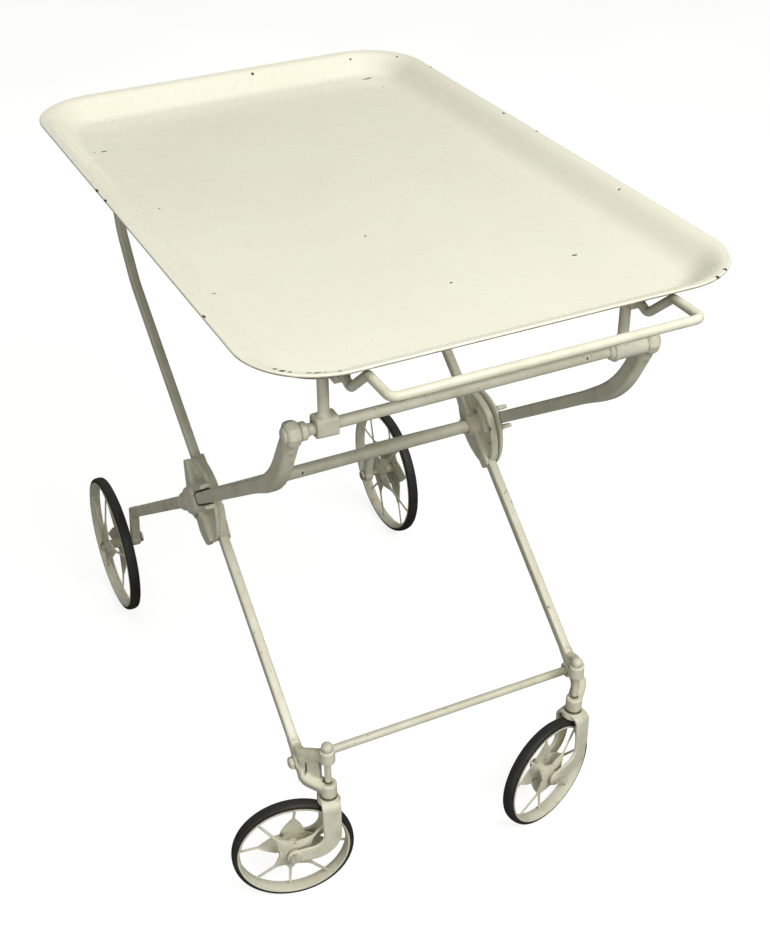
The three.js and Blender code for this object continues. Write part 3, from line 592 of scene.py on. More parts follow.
RIM_BEAD = 1.65 * MM
SHEET = 1.6 * MM
PAN_CORNER = 81 * MM
PAN_DEPTH = PAN_HIGH.z
PAN_HALF = Vector((PAN_HIGH.x, PAN_HIGH.y))


def pan_loop(inset, z, corner_steps=20, side_steps=10):
    """One closed loop round the pan, `inset` in from its edge."""
    radius = max(PAN_CORNER - inset, 30 * MM)
    radius = min(radius, PAN_HALF.x - inset - 1 * MM)
    x = PAN_HALF.x - inset - radius
    y = PAN_HALF.y - inset - radius
    arcs = []
    for quarter, (sx, sy) in enumerate(((1, 1), (-1, 1), (-1, -1), (1, -1))):
        arc = []
        for k in range(corner_steps + 1):
            angle = (quarter + k / corner_steps) * math.pi / 2
            arc.append(Vector((sx * x + radius * math.cos(angle), sy * y + radius * math.sin(angle), z)))
        arcs.append(arc)
    loop = []
    for i, arc in enumerate(arcs):
        loop.extend(arc)
        after = arcs[(i + 1) % 4][0]
        loop.extend(arc[-1].lerp(after, k / side_steps) for k in range(1, side_steps))
    return loop


def bezier(a, b, c, d, t):
    s = 1 - t
    return a * s ** 3 + b * 3 * s * s * t + c * 3 * s * t * t + d * t ** 3


WALL = [Vector((48, 0)), Vector((26, 0)), Vector((19, 23.6)), Vector((3, 24.4))]


def pan_wall(t):
    """The wall's upper face as (inset, height): a cove at the floor, a nearly flat lip."""
    return bezier(*WALL, t) * MM


def pan_section():
    """The pan's skin as (inset, height), from near the floor's middle to the underside's."""
    steps = 24
    upper = [pan_wall(k / steps) for k in range(steps + 1)]
    lower = []
    for k in range(steps + 1):
        t = k / steps
        along = pan_wall(min(t + 0.01, 1)) - pan_wall(max(t - 0.01, 0))
        normal = Vector((along.y, -along.x)).normalized()
        lower.append(pan_wall(t) + (-normal if normal.y > 0 else normal) * SHEET)
    centre = Vector((RIM_BEAD + 0.2 * MM, PAN_DEPTH - RIM_BEAD - 0.1 * MM))
    bead = []
    for k in range(13):
        angle = math.radians(80 + 240 * k / 12)
        bead.append(centre + Vector((math.cos(angle), math.sin(angle))) * RIM_BEAD)
    floor = [Vector((inset * MM, 0)) for inset in (247, 225, 200, 170, 140, 110, 84, 64, 52)]
    under = [p - Vector((0, SHEET)) for p in reversed(floor)]
    return floor + upper + bead + lower[::-1] + under


def build_pan():
    rings = [pan_loop(inset, z) for inset, z in pan_section()]
    for ring in rings:
        for point in ring:
            wave = noise.noise(Vector((point.x * 6, point.y * 6, 1.7)))
            point.z += 0.35 * MM * wave * (1 - point.z / PAN_DEPTH if point.z > 0 else 1)
    obj = new_object("tray_pan_fine", *loft(rings))
    shade(obj, 50)
    settle(obj, "tray", TRAY, "tray_pan")


# ---- handle and tray hinge ----

HANDLE_LOW, HANDLE_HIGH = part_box("handle_rod")
HANDLE_RADIUS = 4.6 * MM
ROD_RADIUS = 6 * MM
SLEEVE_RADIUS = 10.8 * MM
COLLAR_LONG = 9 * MM
POST_RADIUS = 5.7 * MM
POST_X = 164 * MM


def build_handle():
    x = HANDLE_HIGH.x - HANDLE_RADIUS
    bar_y = HANDLE_LOW.y + HANDLE_RADIUS
    dip = height(715.5)
    high = HANDLE_HIGH.z - HANDLE_RADIUS
    arm = [(-318.5 * MM, height(726.5)), (-350 * MM, dip), (-386 * MM, high), (bar_y, high)]
    corners = [Vector((-x, y, z)) for y, z in arm] + [Vector((x, y, z)) for y, z in reversed(arm)]
    path = rounded(corners, 8 * MM, 8)
    obj = new_object("handle_fine", *sweep(path, circle(HANDLE_RADIUS)))
    settle(shade(obj), "tray", FRAME, "handle_rod")


def place_rod(node, body, radius):
    """A plain round bar along X in place of a CAD rod, with eased ends."""
    low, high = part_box(node)
    y, z = (low.y + high.y) / 2, (low.z + high.z) / 2
    ease = 1.2 * MM
    length = high.x - low.x
    profile = [(radius - ease, 0), (radius, ease), (radius, length - ease), (radius - ease, length)]
    place_solid(node, turned(profile, Vector((low.x, y, z)), X_AXIS, 32), body, FRAME)


def ring_solid(low_x, high_x, centre, inner, outer, ease):
    """A round sleeve along X with eased ends."""
    length = high_x - low_x
    profile = [
        (inner, 0), (outer - ease, 0), (outer, ease), (outer, length / 2),
        (outer, length - ease), (outer - ease, length), (inner, length),
    ]
    return turned(profile, at_x(low_x, centre), X_AXIS, 48, loop=True)


def dome(face, along, radius, rise, sides=40):
    """A domed cap nut standing on a face."""
    profile = [(radius, 0), (radius, rise * 0.35)]
    for k in range(1, 9):
        angle = math.pi / 2 * k / 8
        profile.append((max(radius * math.cos(angle), 0.02 * MM), rise * (0.35 + 0.65 * math.sin(angle))))
    return turned(profile, face, along, sides)


def build_hinge():
    place_rod("hinge_rod", "rear_frame", ROD_RADIUS)
    for name, side in SIDES:
        low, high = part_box(f"rod_collar_{name}")
        outer = max(abs(low.x), abs(high.x)) * side
        ends = sorted((outer, outer - side * COLLAR_LONG))
        collar = ring_solid(*ends, HINGE, ROD_RADIUS + 0.2 * MM, (high.z - low.z) / 2, 2 * MM)
        place_solid(f"rod_collar_{name}", collar, "rear_frame", CASTING)
        low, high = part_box(f"rod_nut_{name}")
        face = at_x(low.x if side > 0 else high.x, HINGE)
        nut = dome(face, X_AXIS * side, 8 * MM, 4.6 * MM)
        place_solid(f"rod_nut_{name}", nut, "rear_frame", CASTING)
        build_post(name, side)


def build_post(name, side):
    """A post on a sleeve round the hinge rod; the left sleeve is a short squared block."""
    node = f"tray_post_{name}"
    low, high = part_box(node)
    centre = side * POST_X
    foot = HINGE.z + SLEEVE_RADIUS - 2.5 * MM
    if side > 0:
        ease = 1.6 * MM
        sleeve = ring_solid(low.x, high.x, HINGE, ROD_RADIUS + 0.4 * MM, SLEEVE_RADIUS, ease)
        flange = ring_solid(low.x, low.x + 5 * MM, HINGE, ROD_RADIUS, SLEEVE_RADIUS + 1 * MM, ease)
        solids = [sleeve, flange]
    else:
        ends = (centre - 10.5 * MM, centre + 2 * MM, high.x - 3 * MM, high.x - 2 * MM)
        stations = [Vector((x, HINGE.y, HINGE.z + 1.6 * MM)) for x in ends]
        section = soft_rectangle(22 * MM, 20 * MM, 6 * MM)
        solids = [sweep(stations, section, Z_AXIS, lambda t: 1 + 0.06 * t)]
    reach = high.z - foot
    shoulder = 8.6 * MM if side > 0 else 7.8 * MM
    profile = [
        (shoulder, 0), (shoulder * 0.9, 4 * MM), (POST_RADIUS, 7.5 * MM), (POST_RADIUS, reach - 8 * MM),
        (7.2 * MM, reach - 3.4 * MM), (12 * MM, reach - 2.4 * MM), (12.6 * MM, reach),
    ]
    post = turned(profile, Vector((centre, HINGE.y, foot)), Z_AXIS, 40)
    bore = cylinder(at_x(low.x - PAST, HINGE), at_x(high.x + PAST, HINGE), ROD_RADIUS + 0.4 * MM)
    obj = cast(f"{node}_fine", [*solids, post], [bore], voxel=0.7, rounds=3, keep=0.5)
    settle(obj, "tray", CASTING, node)


# ---- legs that carry the fixed wheels ----

AXLE_SLOPE = math.radians(34.6)
KNEE_Y = -262 * MM
BAR_X = (BAR_LOW.x + BAR_HIGH.x) / 2
BAR_ACROSS = BAR_HIGH.x - BAR_LOW.x
BAR_DEEP = 15 * MM
BAR_START = 14 * MM
TAIL_THICK = 12.5 * MM
TAIL_WIDE = 15.5 * MM
TAIL_X = TAIL_LOW.x + TAIL_THICK / 2
TAIL_OFFSET = 4.5 * MM
TAIL_START = 30 * MM
TAIL_BEND = (32 * MM, 90 * MM)  # where the tail starts and ends its step inwards, past its start
TAIL_END_Y = 350 * MM


def on_axle_leg(x, y):
    return Vector((x, y, PIVOT.z - math.tan(AXLE_SLOPE) * (y - PIVOT.y)))


def build_axle_leg_bar():
    end = at_x(BAR_X, HINGE)
    corners = [on_axle_leg(BAR_X, PIVOT.y - BAR_START), on_axle_leg(BAR_X, KNEE_Y), end]
    path = evenly(rounded(corners, 150 * MM, 14), 60)

    def swell(t):
        """Thicker from the knee to the eye."""
        rise = min(max((t - 0.58) / 0.18, 0), 1)
        return 1 + 0.34 * rise * rise * (3 - 2 * rise) - 0.12 * max(0, (t - 0.8) / 0.2)

    bar = sweep(path, soft_rectangle(BAR_ACROSS, BAR_DEEP, 3 * MM, 5), scale=swell)
    eye_half = BAR_ACROSS / 2 + 1 * MM
    profile = [
        (10.6 * MM, -eye_half), (13.2 * MM, -eye_half + 2.6 * MM), (13.8 * MM, 0),
        (13.2 * MM, eye_half - 2.6 * MM), (10.6 * MM, eye_half),
    ]
    eye = turned(profile, end, X_AXIS, 8)
    neck = cylinder(end, Vector((BAR_X, HINGE.y + 8 * MM, HINGE.z - 20 * MM)), 8.6 * MM)
    bore = cylinder(
        at_x(BAR_LOW.x - PAST, HINGE), at_x(BAR_HIGH.x + PAST, HINGE), ROD_RADIUS + 0.3 * MM)
    right = cast("axle_leg_bar_right_fine", [bar, eye, neck], [bore], voxel=0.8, rounds=2, keep=0.3)
    settle_pair(right, "axle_leg_bar", "rear_frame", CASTING)


def tail_path():
    start = PIVOT.y + TAIL_START
    outer = TAIL_X + TAIL_OFFSET
    return [
        on_axle_leg(outer, start), on_axle_leg(outer, start + TAIL_BEND[0]),
        on_axle_leg(TAIL_X, start + TAIL_BEND[1]), on_axle_leg(TAIL_X, TAIL_END_Y), at_x(TAIL_X, REAR),
    ]


def build_tail():
    corners = tail_path()
    elbow = rounded(corners[2:], 7 * MM, 8)
    path = corners[:2] + elbow
    bar = sweep(path, soft_rectangle(TAIL_THICK, TAIL_WIDE, 3 * MM, 4))
    half = TAIL_THICK / 2
    profile = [
        (9.2 * MM, -half), (10.4 * MM, -half + 1.5 * MM), (10.4 * MM, half - 1.5 * MM), (9.2 * MM, half)]
    lobe = turned(profile, corners[-1], X_AXIS, 40)
    bore = cross_cylinder(corners[-1], -2 * PAST, 2 * PAST, 4.9 * MM)
    elbow_centre = on_axle_leg(TAIL_X, TAIL_END_Y - 1 * MM)
    elbow_boss = cross_cylinder(elbow_centre, -half * 0.98, half * 0.98, 8.2 * MM)
    right = cast("axle_leg_tail_right_fine", [bar, lobe, elbow_boss], [bore], keep=0.35)
    settle_pair(right, "axle_leg_tail", "rear_frame", CASTING)


LEAN = math.atan2(163.6, 178.5)
LEG_U = Vector((0, math.cos(LEAN), math.sin(LEAN)))  # up along the caster leg
LEG_V = Vector((0, -math.sin(LEAN), math.cos(LEAN)))  # across it, upwards
AXLE_U = Vector((0, math.cos(AXLE_SLOPE), -math.sin(AXLE_SLOPE)))  # down along the tail
AXLE_V = Vector((0, math.sin(AXLE_SLOPE), math.cos(AXLE_SLOPE)))  # across it, upwards
KNUCKLE_LONG = 52 * MM
KNUCKLE_DROP = 4 * MM
OUTER_FRONT, OUTER_BACK = 55 * MM, 49 * MM
INNER_FRONT, INNER_BACK = 46 * MM, 35 * MM


def knuckle_outline(front, back, inset=0.0, points=56):
    """An egg along the caster leg, round the pivot, fuller in front, as (u, v) pairs."""
    outline = []
    for k in range(points):
        angle = 2 * math.pi * k / points
        c = math.cos(angle)
        wide = front if math.sin(angle) > 0 else back
        u = (KNUCKLE_LONG - inset) * math.copysign(abs(c) ** 1.25, c) - KNUCKLE_DROP
        outline.append((u, (wide - inset) * math.sin(angle)))
    return outline


def on_knuckle(x, u, v):
    """A point at x, with u and v in millimetres along and across the caster leg."""
    return at_x(x) + LEG_U * u * MM + LEG_V * v * MM


def edge_bead(points, radius):
    """A round bead along a closed line on a casting's face."""
    rings = []
    for i, p in enumerate(points):
        along = (points[(i + 1) % len(points)] - points[i - 1]).normalized()
        away = along.cross(X_AXIS)
        rings.append([p + away * u + X_AXIS * v for u, v in circle(radius, 10)])
    return loft(rings, loop=True)


def knuckle_lip(x, front, back, inset, radius):
    """A bead round a knuckle's outline, at x."""
    line = [at_x(x) + LEG_U * u + LEG_V * v for u, v in knuckle_outline(front, back, inset)]
    return edge_bead(line, radius)


def knuckle_line(x, *pairs):
    """Points at x from (u, v) pairs in millimetres."""
    return [on_knuckle(x, u, v) for u, v in pairs]


def arc_rib(x, radius, start, end, wide, tall):
    """A rib on a casting's face, round the pivot from one angle to another in degrees."""
    steps = 14
    stations = []
    for k in range(steps + 1):
        angle = math.radians(start + (end - start) * k / steps)
        stations.append(at_x(x) + (LEG_U * math.cos(angle) + LEG_V * math.sin(angle)) * radius * MM)
    return sweep(stations, soft_rectangle(tall * MM, wide * MM, min(wide, tall) * 0.4 * MM))


def build_outer_knuckle():
    low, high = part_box("axle_leg_knuckle_right")
    face = low.x
    outside = high.x
    back = BAR_LOW.x - 0.3 * MM
    thick = back - face
    outline = knuckle_outline(OUTER_FRONT, OUTER_BACK)
    shield = plate(outline, at_x(face + thick / 2), LEG_U, LEG_V, thick)
    lip = knuckle_lip(back - 0.6 * MM, OUTER_FRONT, OUTER_BACK, 2.4 * MM, 2 * MM)
    lobe_line = knuckle_line(face + 5 * MM, (-54, -13), (-36, -13), (-6, -8))
    lower_lobe = sweep(
        evenly(lobe_line, 20), soft_rectangle(12 * MM, 36 * MM, 5.9 * MM),
        scale=lambda t: 0.6 + 0.4 * min(1, t / 0.4) ** 0.5)
    ridge_line = knuckle_line(face + 6 * MM, (0, -9), (24, -6), (50, 0))
    upper_ridge = sweep(
        evenly(ridge_line, 16), soft_rectangle(14 * MM, 38 * MM, 6 * MM),
        scale=lambda t: 1.12 - 0.74 * t)
    jaw_x = (face + outside) / 2
    jaws = []
    for way in (-1, 1):
        jaws.append(sweep(
            [at_x(jaw_x - 1 * MM) + AXLE_V * way * 12 * MM + AXLE_U * u * MM for u in (-57, -38, -12, 14)],
            soft_rectangle(outside - face - 2 * MM, 7.6 * MM, 3 * MM), scale=lambda t: 0.72 + 0.3 * t))
    sleeve = sweep(
        [at_x(jaw_x) + AXLE_U * u * MM for u in (-27, -16, 6, 16)],
        soft_rectangle(outside - face, 34 * MM, 6.5 * MM), scale=lambda t: 0.84 + 0.16 * min(1, 3 * t))
    heart = cylinder(at_x(face + 0.5 * MM), at_x(outside - 1 * MM), 17 * MM, 14 * MM)
    ribs = [
        arc_rib(face + 10 * MM, 23, 150, 290, 5, 10), arc_rib(face + 5 * MM, 34, 20, 62, 5, 5),
    ]
    tail = tail_path()
    along = (tail[1] - tail[0]).normalized()
    profile = in_mm(
        (13.8, -28), (13.6, 0), (13.2, 5), (11.9, 6.2), (11.9, 8), (13, 9), (12.8, 12.5), (11.6, 13.6),
        (11.6, 15.2), (12.8, 16.2), (12.4, 19), (11, 20.5))
    boss = turned(profile, tail[0], along, 40)
    socket = sweep(
        [tail[0] - along * 0.4 * MM, tail[1]],
        soft_rectangle(TAIL_THICK + 0.6 * MM, TAIL_WIDE + 0.6 * MM, 3 * MM))
    channel = sweep(
        [on_axle_leg(BAR_X, PIVOT.y - 2 * MM), on_axle_leg(BAR_X, PIVOT.y - 90 * MM)],
        soft_rectangle(BAR_ACROSS + 0.6 * MM, BAR_DEEP + 0.9 * MM, 3 * MM))
    mouth = sweep(
        [on_axle_leg(BAR_X + 8 * MM, PIVOT.y - 21 * MM), on_axle_leg(BAR_X + 8 * MM, PIVOT.y - 90 * MM)],
        soft_rectangle(14 * MM, BAR_DEEP + 3 * MM, 2 * MM))
    throat_start = on_axle_leg(BAR_X, PIVOT.y - 23 * MM) + AXLE_V * 7 * MM
    throat = cylinder(throat_start, throat_start + X_AXIS * 12 * MM, 4.6 * MM)
    pocket = cylinder(on_knuckle(face + 2.4 * MM, 22, 26), on_knuckle(face + 20 * MM, 22, 26), 7 * MM)
    right = cast(
        "axle_leg_knuckle_right_fine",
        [shield, lip, lower_lobe, upper_ridge, *jaws, sleeve, heart, *ribs, boss],
        [socket, channel, mouth, pocket, throat], voxel=0.75, rounds=4, keep=0.4)
    settle_pair(right, "axle_leg_knuckle", "rear_frame", CASTING)


def build_rear_axles():
    for name, side in SIDES:
        low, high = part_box(f"rear_axle_{name}")
        inner = low.x if side > 0 else high.x
        reach = high.x - low.x
        head = in_mm((6.6, 0), (7.4, 0.6), (7.4, 2.8), (4.5, 3))
        nut = [(radius, reach - back) for radius, back in in_mm(
            (4.5, 4.2), (7.2, 4.1), (7.4, 2.4), (5.2, 0.5), (0.1, 0))]
        axle = turned(head + nut, at_x(inner, REAR), X_AXIS * side, 40)
        place_solid(f"rear_axle_{name}", axle, "rear_frame", STEEL)


# ---- legs that carry the casters ----

LEG_X = (LOWER_LOW.x + LOWER_HIGH.x) / 2
LEG_ACROSS = LOWER_HIGH.x - LOWER_LOW.x
LEG_DEEP = 12.5 * MM
KNUCKLE_LOW, KNUCKLE_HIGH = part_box("caster_leg_knuckle_right")
# Hollows in the inner knuckle's face: along and across the leg, radius, depth, in millimetres.
INNER_HOLLOWS = (
    (16, 20, 7, 4.5), (-19, 38, 3, 9), (-30, 24, 6, 3.5), (26, -17, 5, 3.5), (-28, -18, 5, 3.5),
)


def lower_leg_path():
    return [spot(181, -230, 185.5), spot(181, -10, 365.4)]


def upper_leg_path():
    rest_low, rest_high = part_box("rest_rod")
    top = Vector((LEG_X, (rest_low.y + rest_high.y) / 2, (rest_low.z + rest_high.z) / 2))
    return [spot(181, 38, 407.7), spot(181, 238, 568), spot(181, 275, 622), top]


def build_caster_leg_bars():
    section = soft_rectangle(LEG_ACROSS, LEG_DEEP, 2.2 * MM, 4)
    lower = new_object("caster_leg_lower_bar_right_fine", *sweep(lower_leg_path(), section))
    shade(lower)
    path = rounded(upper_leg_path(), 60 * MM, 12)
    top = path[-1]
    bar = sweep(path, section)
    half = LEG_ACROSS / 2
    profile = [
        (7.6 * MM, -half), (8.5 * MM, -half + 1 * MM), (8.5 * MM, half - 1 * MM), (7.6 * MM, half)]
    eye = turned(profile, top, X_AXIS, 32)
    bore = cross_cylinder(top, -2 * PAST, 2 * PAST, 5.3 * MM)
    upper = cast("caster_leg_upper_bar_right_fine", [bar, eye], [bore], voxel=0.9, rounds=2, keep=0.35)
    settle_pair(lower, "caster_leg_lower_bar", "front_frame", FRAME)
    settle_pair(upper, "caster_leg_upper_bar", "front_frame", FRAME)


def build_inner_knuckle():
    inner, outer = KNUCKLE_LOW.x, KNUCKLE_HIGH.x
    edge = outer - 8 * MM
    outline = knuckle_outline(INNER_FRONT, INNER_BACK)
    body = plate(outline, at_x((edge + outer) / 2), LEG_U, LEG_V, outer - edge)
    lip = knuckle_lip(edge + 0.8 * MM, INNER_FRONT, INNER_BACK, 2.6 * MM, 2.6 * MM)
    boss = cylinder(at_x(inner - 2 * MM), at_x(edge + 1 * MM), 13.5 * MM, 20 * MM)
    collar = ring_solid(inner - 4 * MM, inner + 2 * MM, PIVOT, 8.3 * MM, 11 * MM, 1 * MM)
    lower_ridge = sweep(
        knuckle_line(inner + 6 * MM, (-57, 0), (-38, 0), (-12, 0)),
        soft_rectangle(12 * MM, 22 * MM, 4 * MM), scale=lambda t: 0.86 + 0.28 * t)
    upper_ridge = sweep(
        knuckle_line(inner + 6 * MM, (14, 0), (34, 0), (50, 0)),
        soft_rectangle(12 * MM, 21 * MM, 4 * MM), scale=lambda t: 1.14 - 0.26 * t)
    rib = arc_rib(edge, 32, 60, 128, 4.5, 6)
    hollows = []
    for u, v, radius, deep in INNER_HOLLOWS:
        centre = on_knuckle(edge - 4 * MM, u, v)
        hollows.append(cross_cylinder(centre, -PAST, (4 + deep) * MM, (radius + 2) * MM, radius * MM))
    grown = soft_rectangle(LEG_ACROSS + 0.6 * MM, LEG_DEEP + 0.6 * MM, 2.2 * MM)
    lower = lower_leg_path()
    along = (lower[1] - lower[0]).normalized()
    lower_slot = sweep([lower[0], lower[1] + along * 0.5 * MM], grown)
    upper = upper_leg_path()
    along = (upper[1] - upper[0]).normalized()
    upper_slot = sweep([upper[0] - along * 0.5 * MM, upper[1]], grown)
    bore = cylinder(at_x(inner - 2 * PAST), at_x(outer + 2 * PAST), 6.3 * MM)
    seat = cylinder(at_x(inner - 3 * PAST), at_x(inner - 0.2 * MM), 8.3 * MM)
    right = cast(
        "caster_leg_knuckle_right_fine", [body, lip, boss, collar, lower_ridge, upper_ridge, rib],
        [*hollows, lower_slot, upper_slot, bore, seat], voxel=0.75, rounds=2, keep=0.4)
    settle_pair(right, "caster_leg_knuckle", "front_frame", CASTING)


def build_cross_bars():
    low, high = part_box("cross_bar")
    radius = (high.z - low.z) / 2
    shoulder = KNUCKLE_LOW.x - 0.3 * MM
    half = [
        (radius, shoulder - 0.8 * MM), (radius - 0.6 * MM, shoulder), (6 * MM, shoulder), (6 * MM, high.x)]
    profile = [(wide, -reach) for wide, reach in reversed(half)] + half
    place_solid("cross_bar", turned(profile, at_x(0), X_AXIS, 40), "front_frame", FRAME)
    place_rod("lower_cross_bar", "front_frame", 5 * MM)
    place_rod("rest_rod", "front_frame", 5 * MM)
    low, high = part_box("lower_cross_bar")
    y, z = (low.y + high.y) / 2, (low.z + high.z) / 2
    for name, side in SIDES:
        nut_low, nut_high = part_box(f"lower_bar_nut_{name}")
        face = Vector((nut_low.x if side > 0 else nut_high.x, y, z))
        nut = dome(face, X_AXIS * side, 7.6 * MM, nut_high.x - nut_low.x, 6)
        place_solid(f"lower_bar_nut_{name}", nut, "front_frame", CASTING)


EAR_LOW, EAR_TOP = (corner.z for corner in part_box("caster_bracket_right"))
EAR_THICK = 18 * MM
STEM_RADIUS = 4 * MM


def build_brackets():
    """A boot round the leg's foot curls under to the lower ear; an arm and a web reach the upper."""
    leg = lower_leg_path()
    along = (leg[1] - leg[0]).normalized()

    def on_leg(y):
        return leg[0] + along * ((y * MM - leg[0].y) / along.y)

    def at_stem(z):
        return Vector((STEM.x, STEM.y, z))

    def ear(z, tall, radius):
        ease = 1.4 * MM
        profile = [(radius - ease, 0), (radius, ease), (radius, tall - ease), (radius - ease, tall)]
        return turned(profile, at_stem(z), Z_AXIS, 40)

    heel = on_leg(-257)
    boot = sweep(
        rounded([on_leg(-220), heel, at_stem(EAR_LOW + 9 * MM)], 13 * MM, 8),
        soft_rectangle(16.4 * MM, 18 * MM, 5 * MM), scale=lambda t: 0.76 + 0.24 * min(1, t / 0.22) ** 0.5)
    shoulder = on_leg(-246) + Z_AXIS * 18 * MM
    arm = sweep(
        rounded([on_leg(-230), shoulder, at_stem(EAR_TOP - 9 * MM)], 14 * MM, 8),
        soft_rectangle(12 * MM, 15 * MM, 5 * MM))
    start = heel + Vector((0, 5 * MM, 0))
    flat = Vector((STEM.x - start.x, STEM.y - start.y, 0))
    u = flat.normalized()
    reach = flat.length - STEM_RADIUS - 5.5 * MM
    floor = Vector((start.x, start.y, EAR_LOW))
    web = plate([
        (-5 * MM, 13 * MM), (-5 * MM, 42 * MM), (reach, EAR_TOP - EAR_LOW - 12 * MM), (reach, 8 * MM),
    ], floor, u, Z_AXIS, 7.5 * MM)
    slit = plate(in_mm((3, 24), (3, 40), (5.4, 40), (5.4, 24)), floor, u, Z_AXIS, 30 * MM)
    low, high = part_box("lower_cross_bar")
    bar = Vector((0, (low.y + high.y) / 2, (low.z + high.z) / 2))
    pad = cross_cylinder(bar, 170 * MM, 189.6 * MM, 9.4 * MM, 8.4 * MM)
    grown = soft_rectangle(LEG_ACROSS + 0.6 * MM, LEG_DEEP + 0.6 * MM, 2.2 * MM)
    slot = sweep([leg[0] - along * 0.4 * MM, leg[1]], grown)
    bore = cylinder(at_stem(EAR_LOW - 2 * PAST), at_stem(EAR_TOP + 2 * PAST), STEM_RADIUS + 0.3 * MM)
    bar_bore = cross_cylinder(bar, 150 * MM, 200 * MM, 5.3 * MM)
    under = block((130 * MM, -330 * MM, EAR_LOW - 2 * PAST), (220 * MM, -200 * MM, EAR_LOW))
    ears = [ear(EAR_TOP - EAR_THICK, EAR_THICK, 9 * MM), ear(EAR_LOW, EAR_THICK, 9.8 * MM)]
    right = cast(
        "caster_bracket_right_fine", [boot, arm, web, pad, *ears],
        [slot, slit, bore, bar_bore, under], voxel=0.7, rounds=2)
    settle_pair(right, "caster_bracket", "front_frame", CASTING)


# ---- wheels: built about the X axis at the origin, then moved into place ----

RIM_SHEET = 1.6 * MM
TYRE_RADIAL = 6.5 * MM
STAR_SHEET = 1.5 * MM
REAR_HUB_LENGTH = 31 * MM
# A star's plate: where the hollows between its arms end and its points run out, as shares of
# the arm, and how the sides curve between the two (1 is straight, more is hollow).
SMALL_PLATE = (0.25, 0.52, 2.0)
BROAD_PLATE = (0.32, 0.64, 1.0)
# A star's number of arms and the angle of its first one, in degrees.
STAR_PHASE = {4: 5, 5: 20}


def wheel_tyre(radius, wide):
    inner = radius - TYRE_RADIAL
    w = wide / 2
    profile = [(inner, -w + 1.2 * MM), (inner + 1.4 * MM, -w)]
    for k in range(17):
        angle = math.pi * (k / 16 - 0.5)
        bulge = (TYRE_RADIAL - 2.6 * MM) * math.cos(angle) ** 0.6
        profile.append((inner + 2.6 * MM + bulge, w * math.sin(angle)))
    profile += [(inner + 1.4 * MM, w), (inner, w - 1.2 * MM)]
    return turned(profile, Vector(), X_AXIS, 120, loop=True)


def wheel_rim(radius, wide):
    outer = radius - TYRE_RADIAL - 0.1 * MM
    w = wide / 2
    hollow = 1.6 * MM
    half = [
        (outer - RIM_SHEET - hollow * 0.6, w * 0.5), (outer - RIM_SHEET, w - 0.2 * MM),
        (outer + 0.2 * MM, w + 0.5 * MM), (outer + 0.9 * MM, w), (outer, w - 0.6 * MM),
    ]
    far_half = [(radius_here, -reach) for radius_here, reach in reversed(half)]
    profile = [*far_half, (outer - RIM_SHEET - hollow, 0), *half]
    return turned(profile, Vector(), X_AXIS, 120, loop=True)


def wheel_hub(length):
    w = length / 2
    radius = 7.2 * MM
    half = [(radius * 0.95, w * 0.5), (radius, w - 0.8 * MM), (radius - 0.8 * MM, w), (5 * MM, w)]
    profile = [(wide, -reach) for wide, reach in reversed(half)] + half
    return turned(profile, Vector(), X_AXIS, 40, loop=True)


def wheel_star(radius, hub_length, end, count, phase, plate_shape):
    """A pressed star: a dished plate whose points run out as thin arms that lean in to the rim."""
    tip = radius - TYRE_RADIAL - RIM_SHEET - 1.2 * MM
    root = 7.4 * MM
    hollow, point, power = plate_shape
    hollow *= tip
    point *= tip
    outset = hub_length / 2 - 3 * MM
    steps = 30
    across = 8
    vertices = []
    faces = []
    for layer in (0, 1):
        for arm in range(count):
            turn = phase + 2 * math.pi * arm / count + (0 if end > 0 else math.pi / count)
            for i in range(steps + 1):
                share = i / steps
                r = root + (tip - root) * share
                inward = min(max((point - r) / (point - hollow), 0), 1)
                thin = (1.8 - 0.4 * share) * MM
                half = min(math.pi / count * r, thin + math.pi / count * hollow * inward ** power)
                lean = outset + (2 * MM - outset) * min(max((r - 12 * MM) / (tip - 12 * MM), 0), 1)
                for k in range(across + 1):
                    v = (k / across * 2 - 1)
                    rib = 0.8 * MM * math.exp(-(v / 0.5) ** 2) * min(1, 3 * (1 - share) + 0.3)
                    angle = turn + v * half / r
                    x = end * (lean + rib + STAR_SHEET * (0.5 - layer))
                    vertices.append(Vector((x, r * math.cos(angle), r * math.sin(angle))))
    row = across + 1
    arm_count = (steps + 1) * row
    layer_count = count * arm_count
    for layer in (0, 1):
        for arm in range(count):
            start = layer * layer_count + arm * arm_count
            for i in range(steps):
                for k in range(across):
                    a = start + i * row + k
                    faces.append((a, a + 1, a + row + 1, a + row))
    for arm in range(count):
        start = arm * arm_count
        for i in range(steps):
            for k in (0, across):
                a = start + i * row + k
                faces.append((a, a + row, a + row + layer_count, a + layer_count))
        for i in (0, steps):
            for k in range(across):
                a = start + i * row + k
                faces.append((a, a + 1, a + 1 + layer_count, a + layer_count))
    profile = [
        (root, -STAR_SHEET), (15.5 * MM, -STAR_SHEET), (15.5 * MM, 0), (11 * MM, 1.6 * MM),
        (root, 1.6 * MM),
    ]
    disc = turned(profile, X_AXIS * end * outset, X_AXIS * end, 60, loop=True)
    return [(vertices, faces), disc]


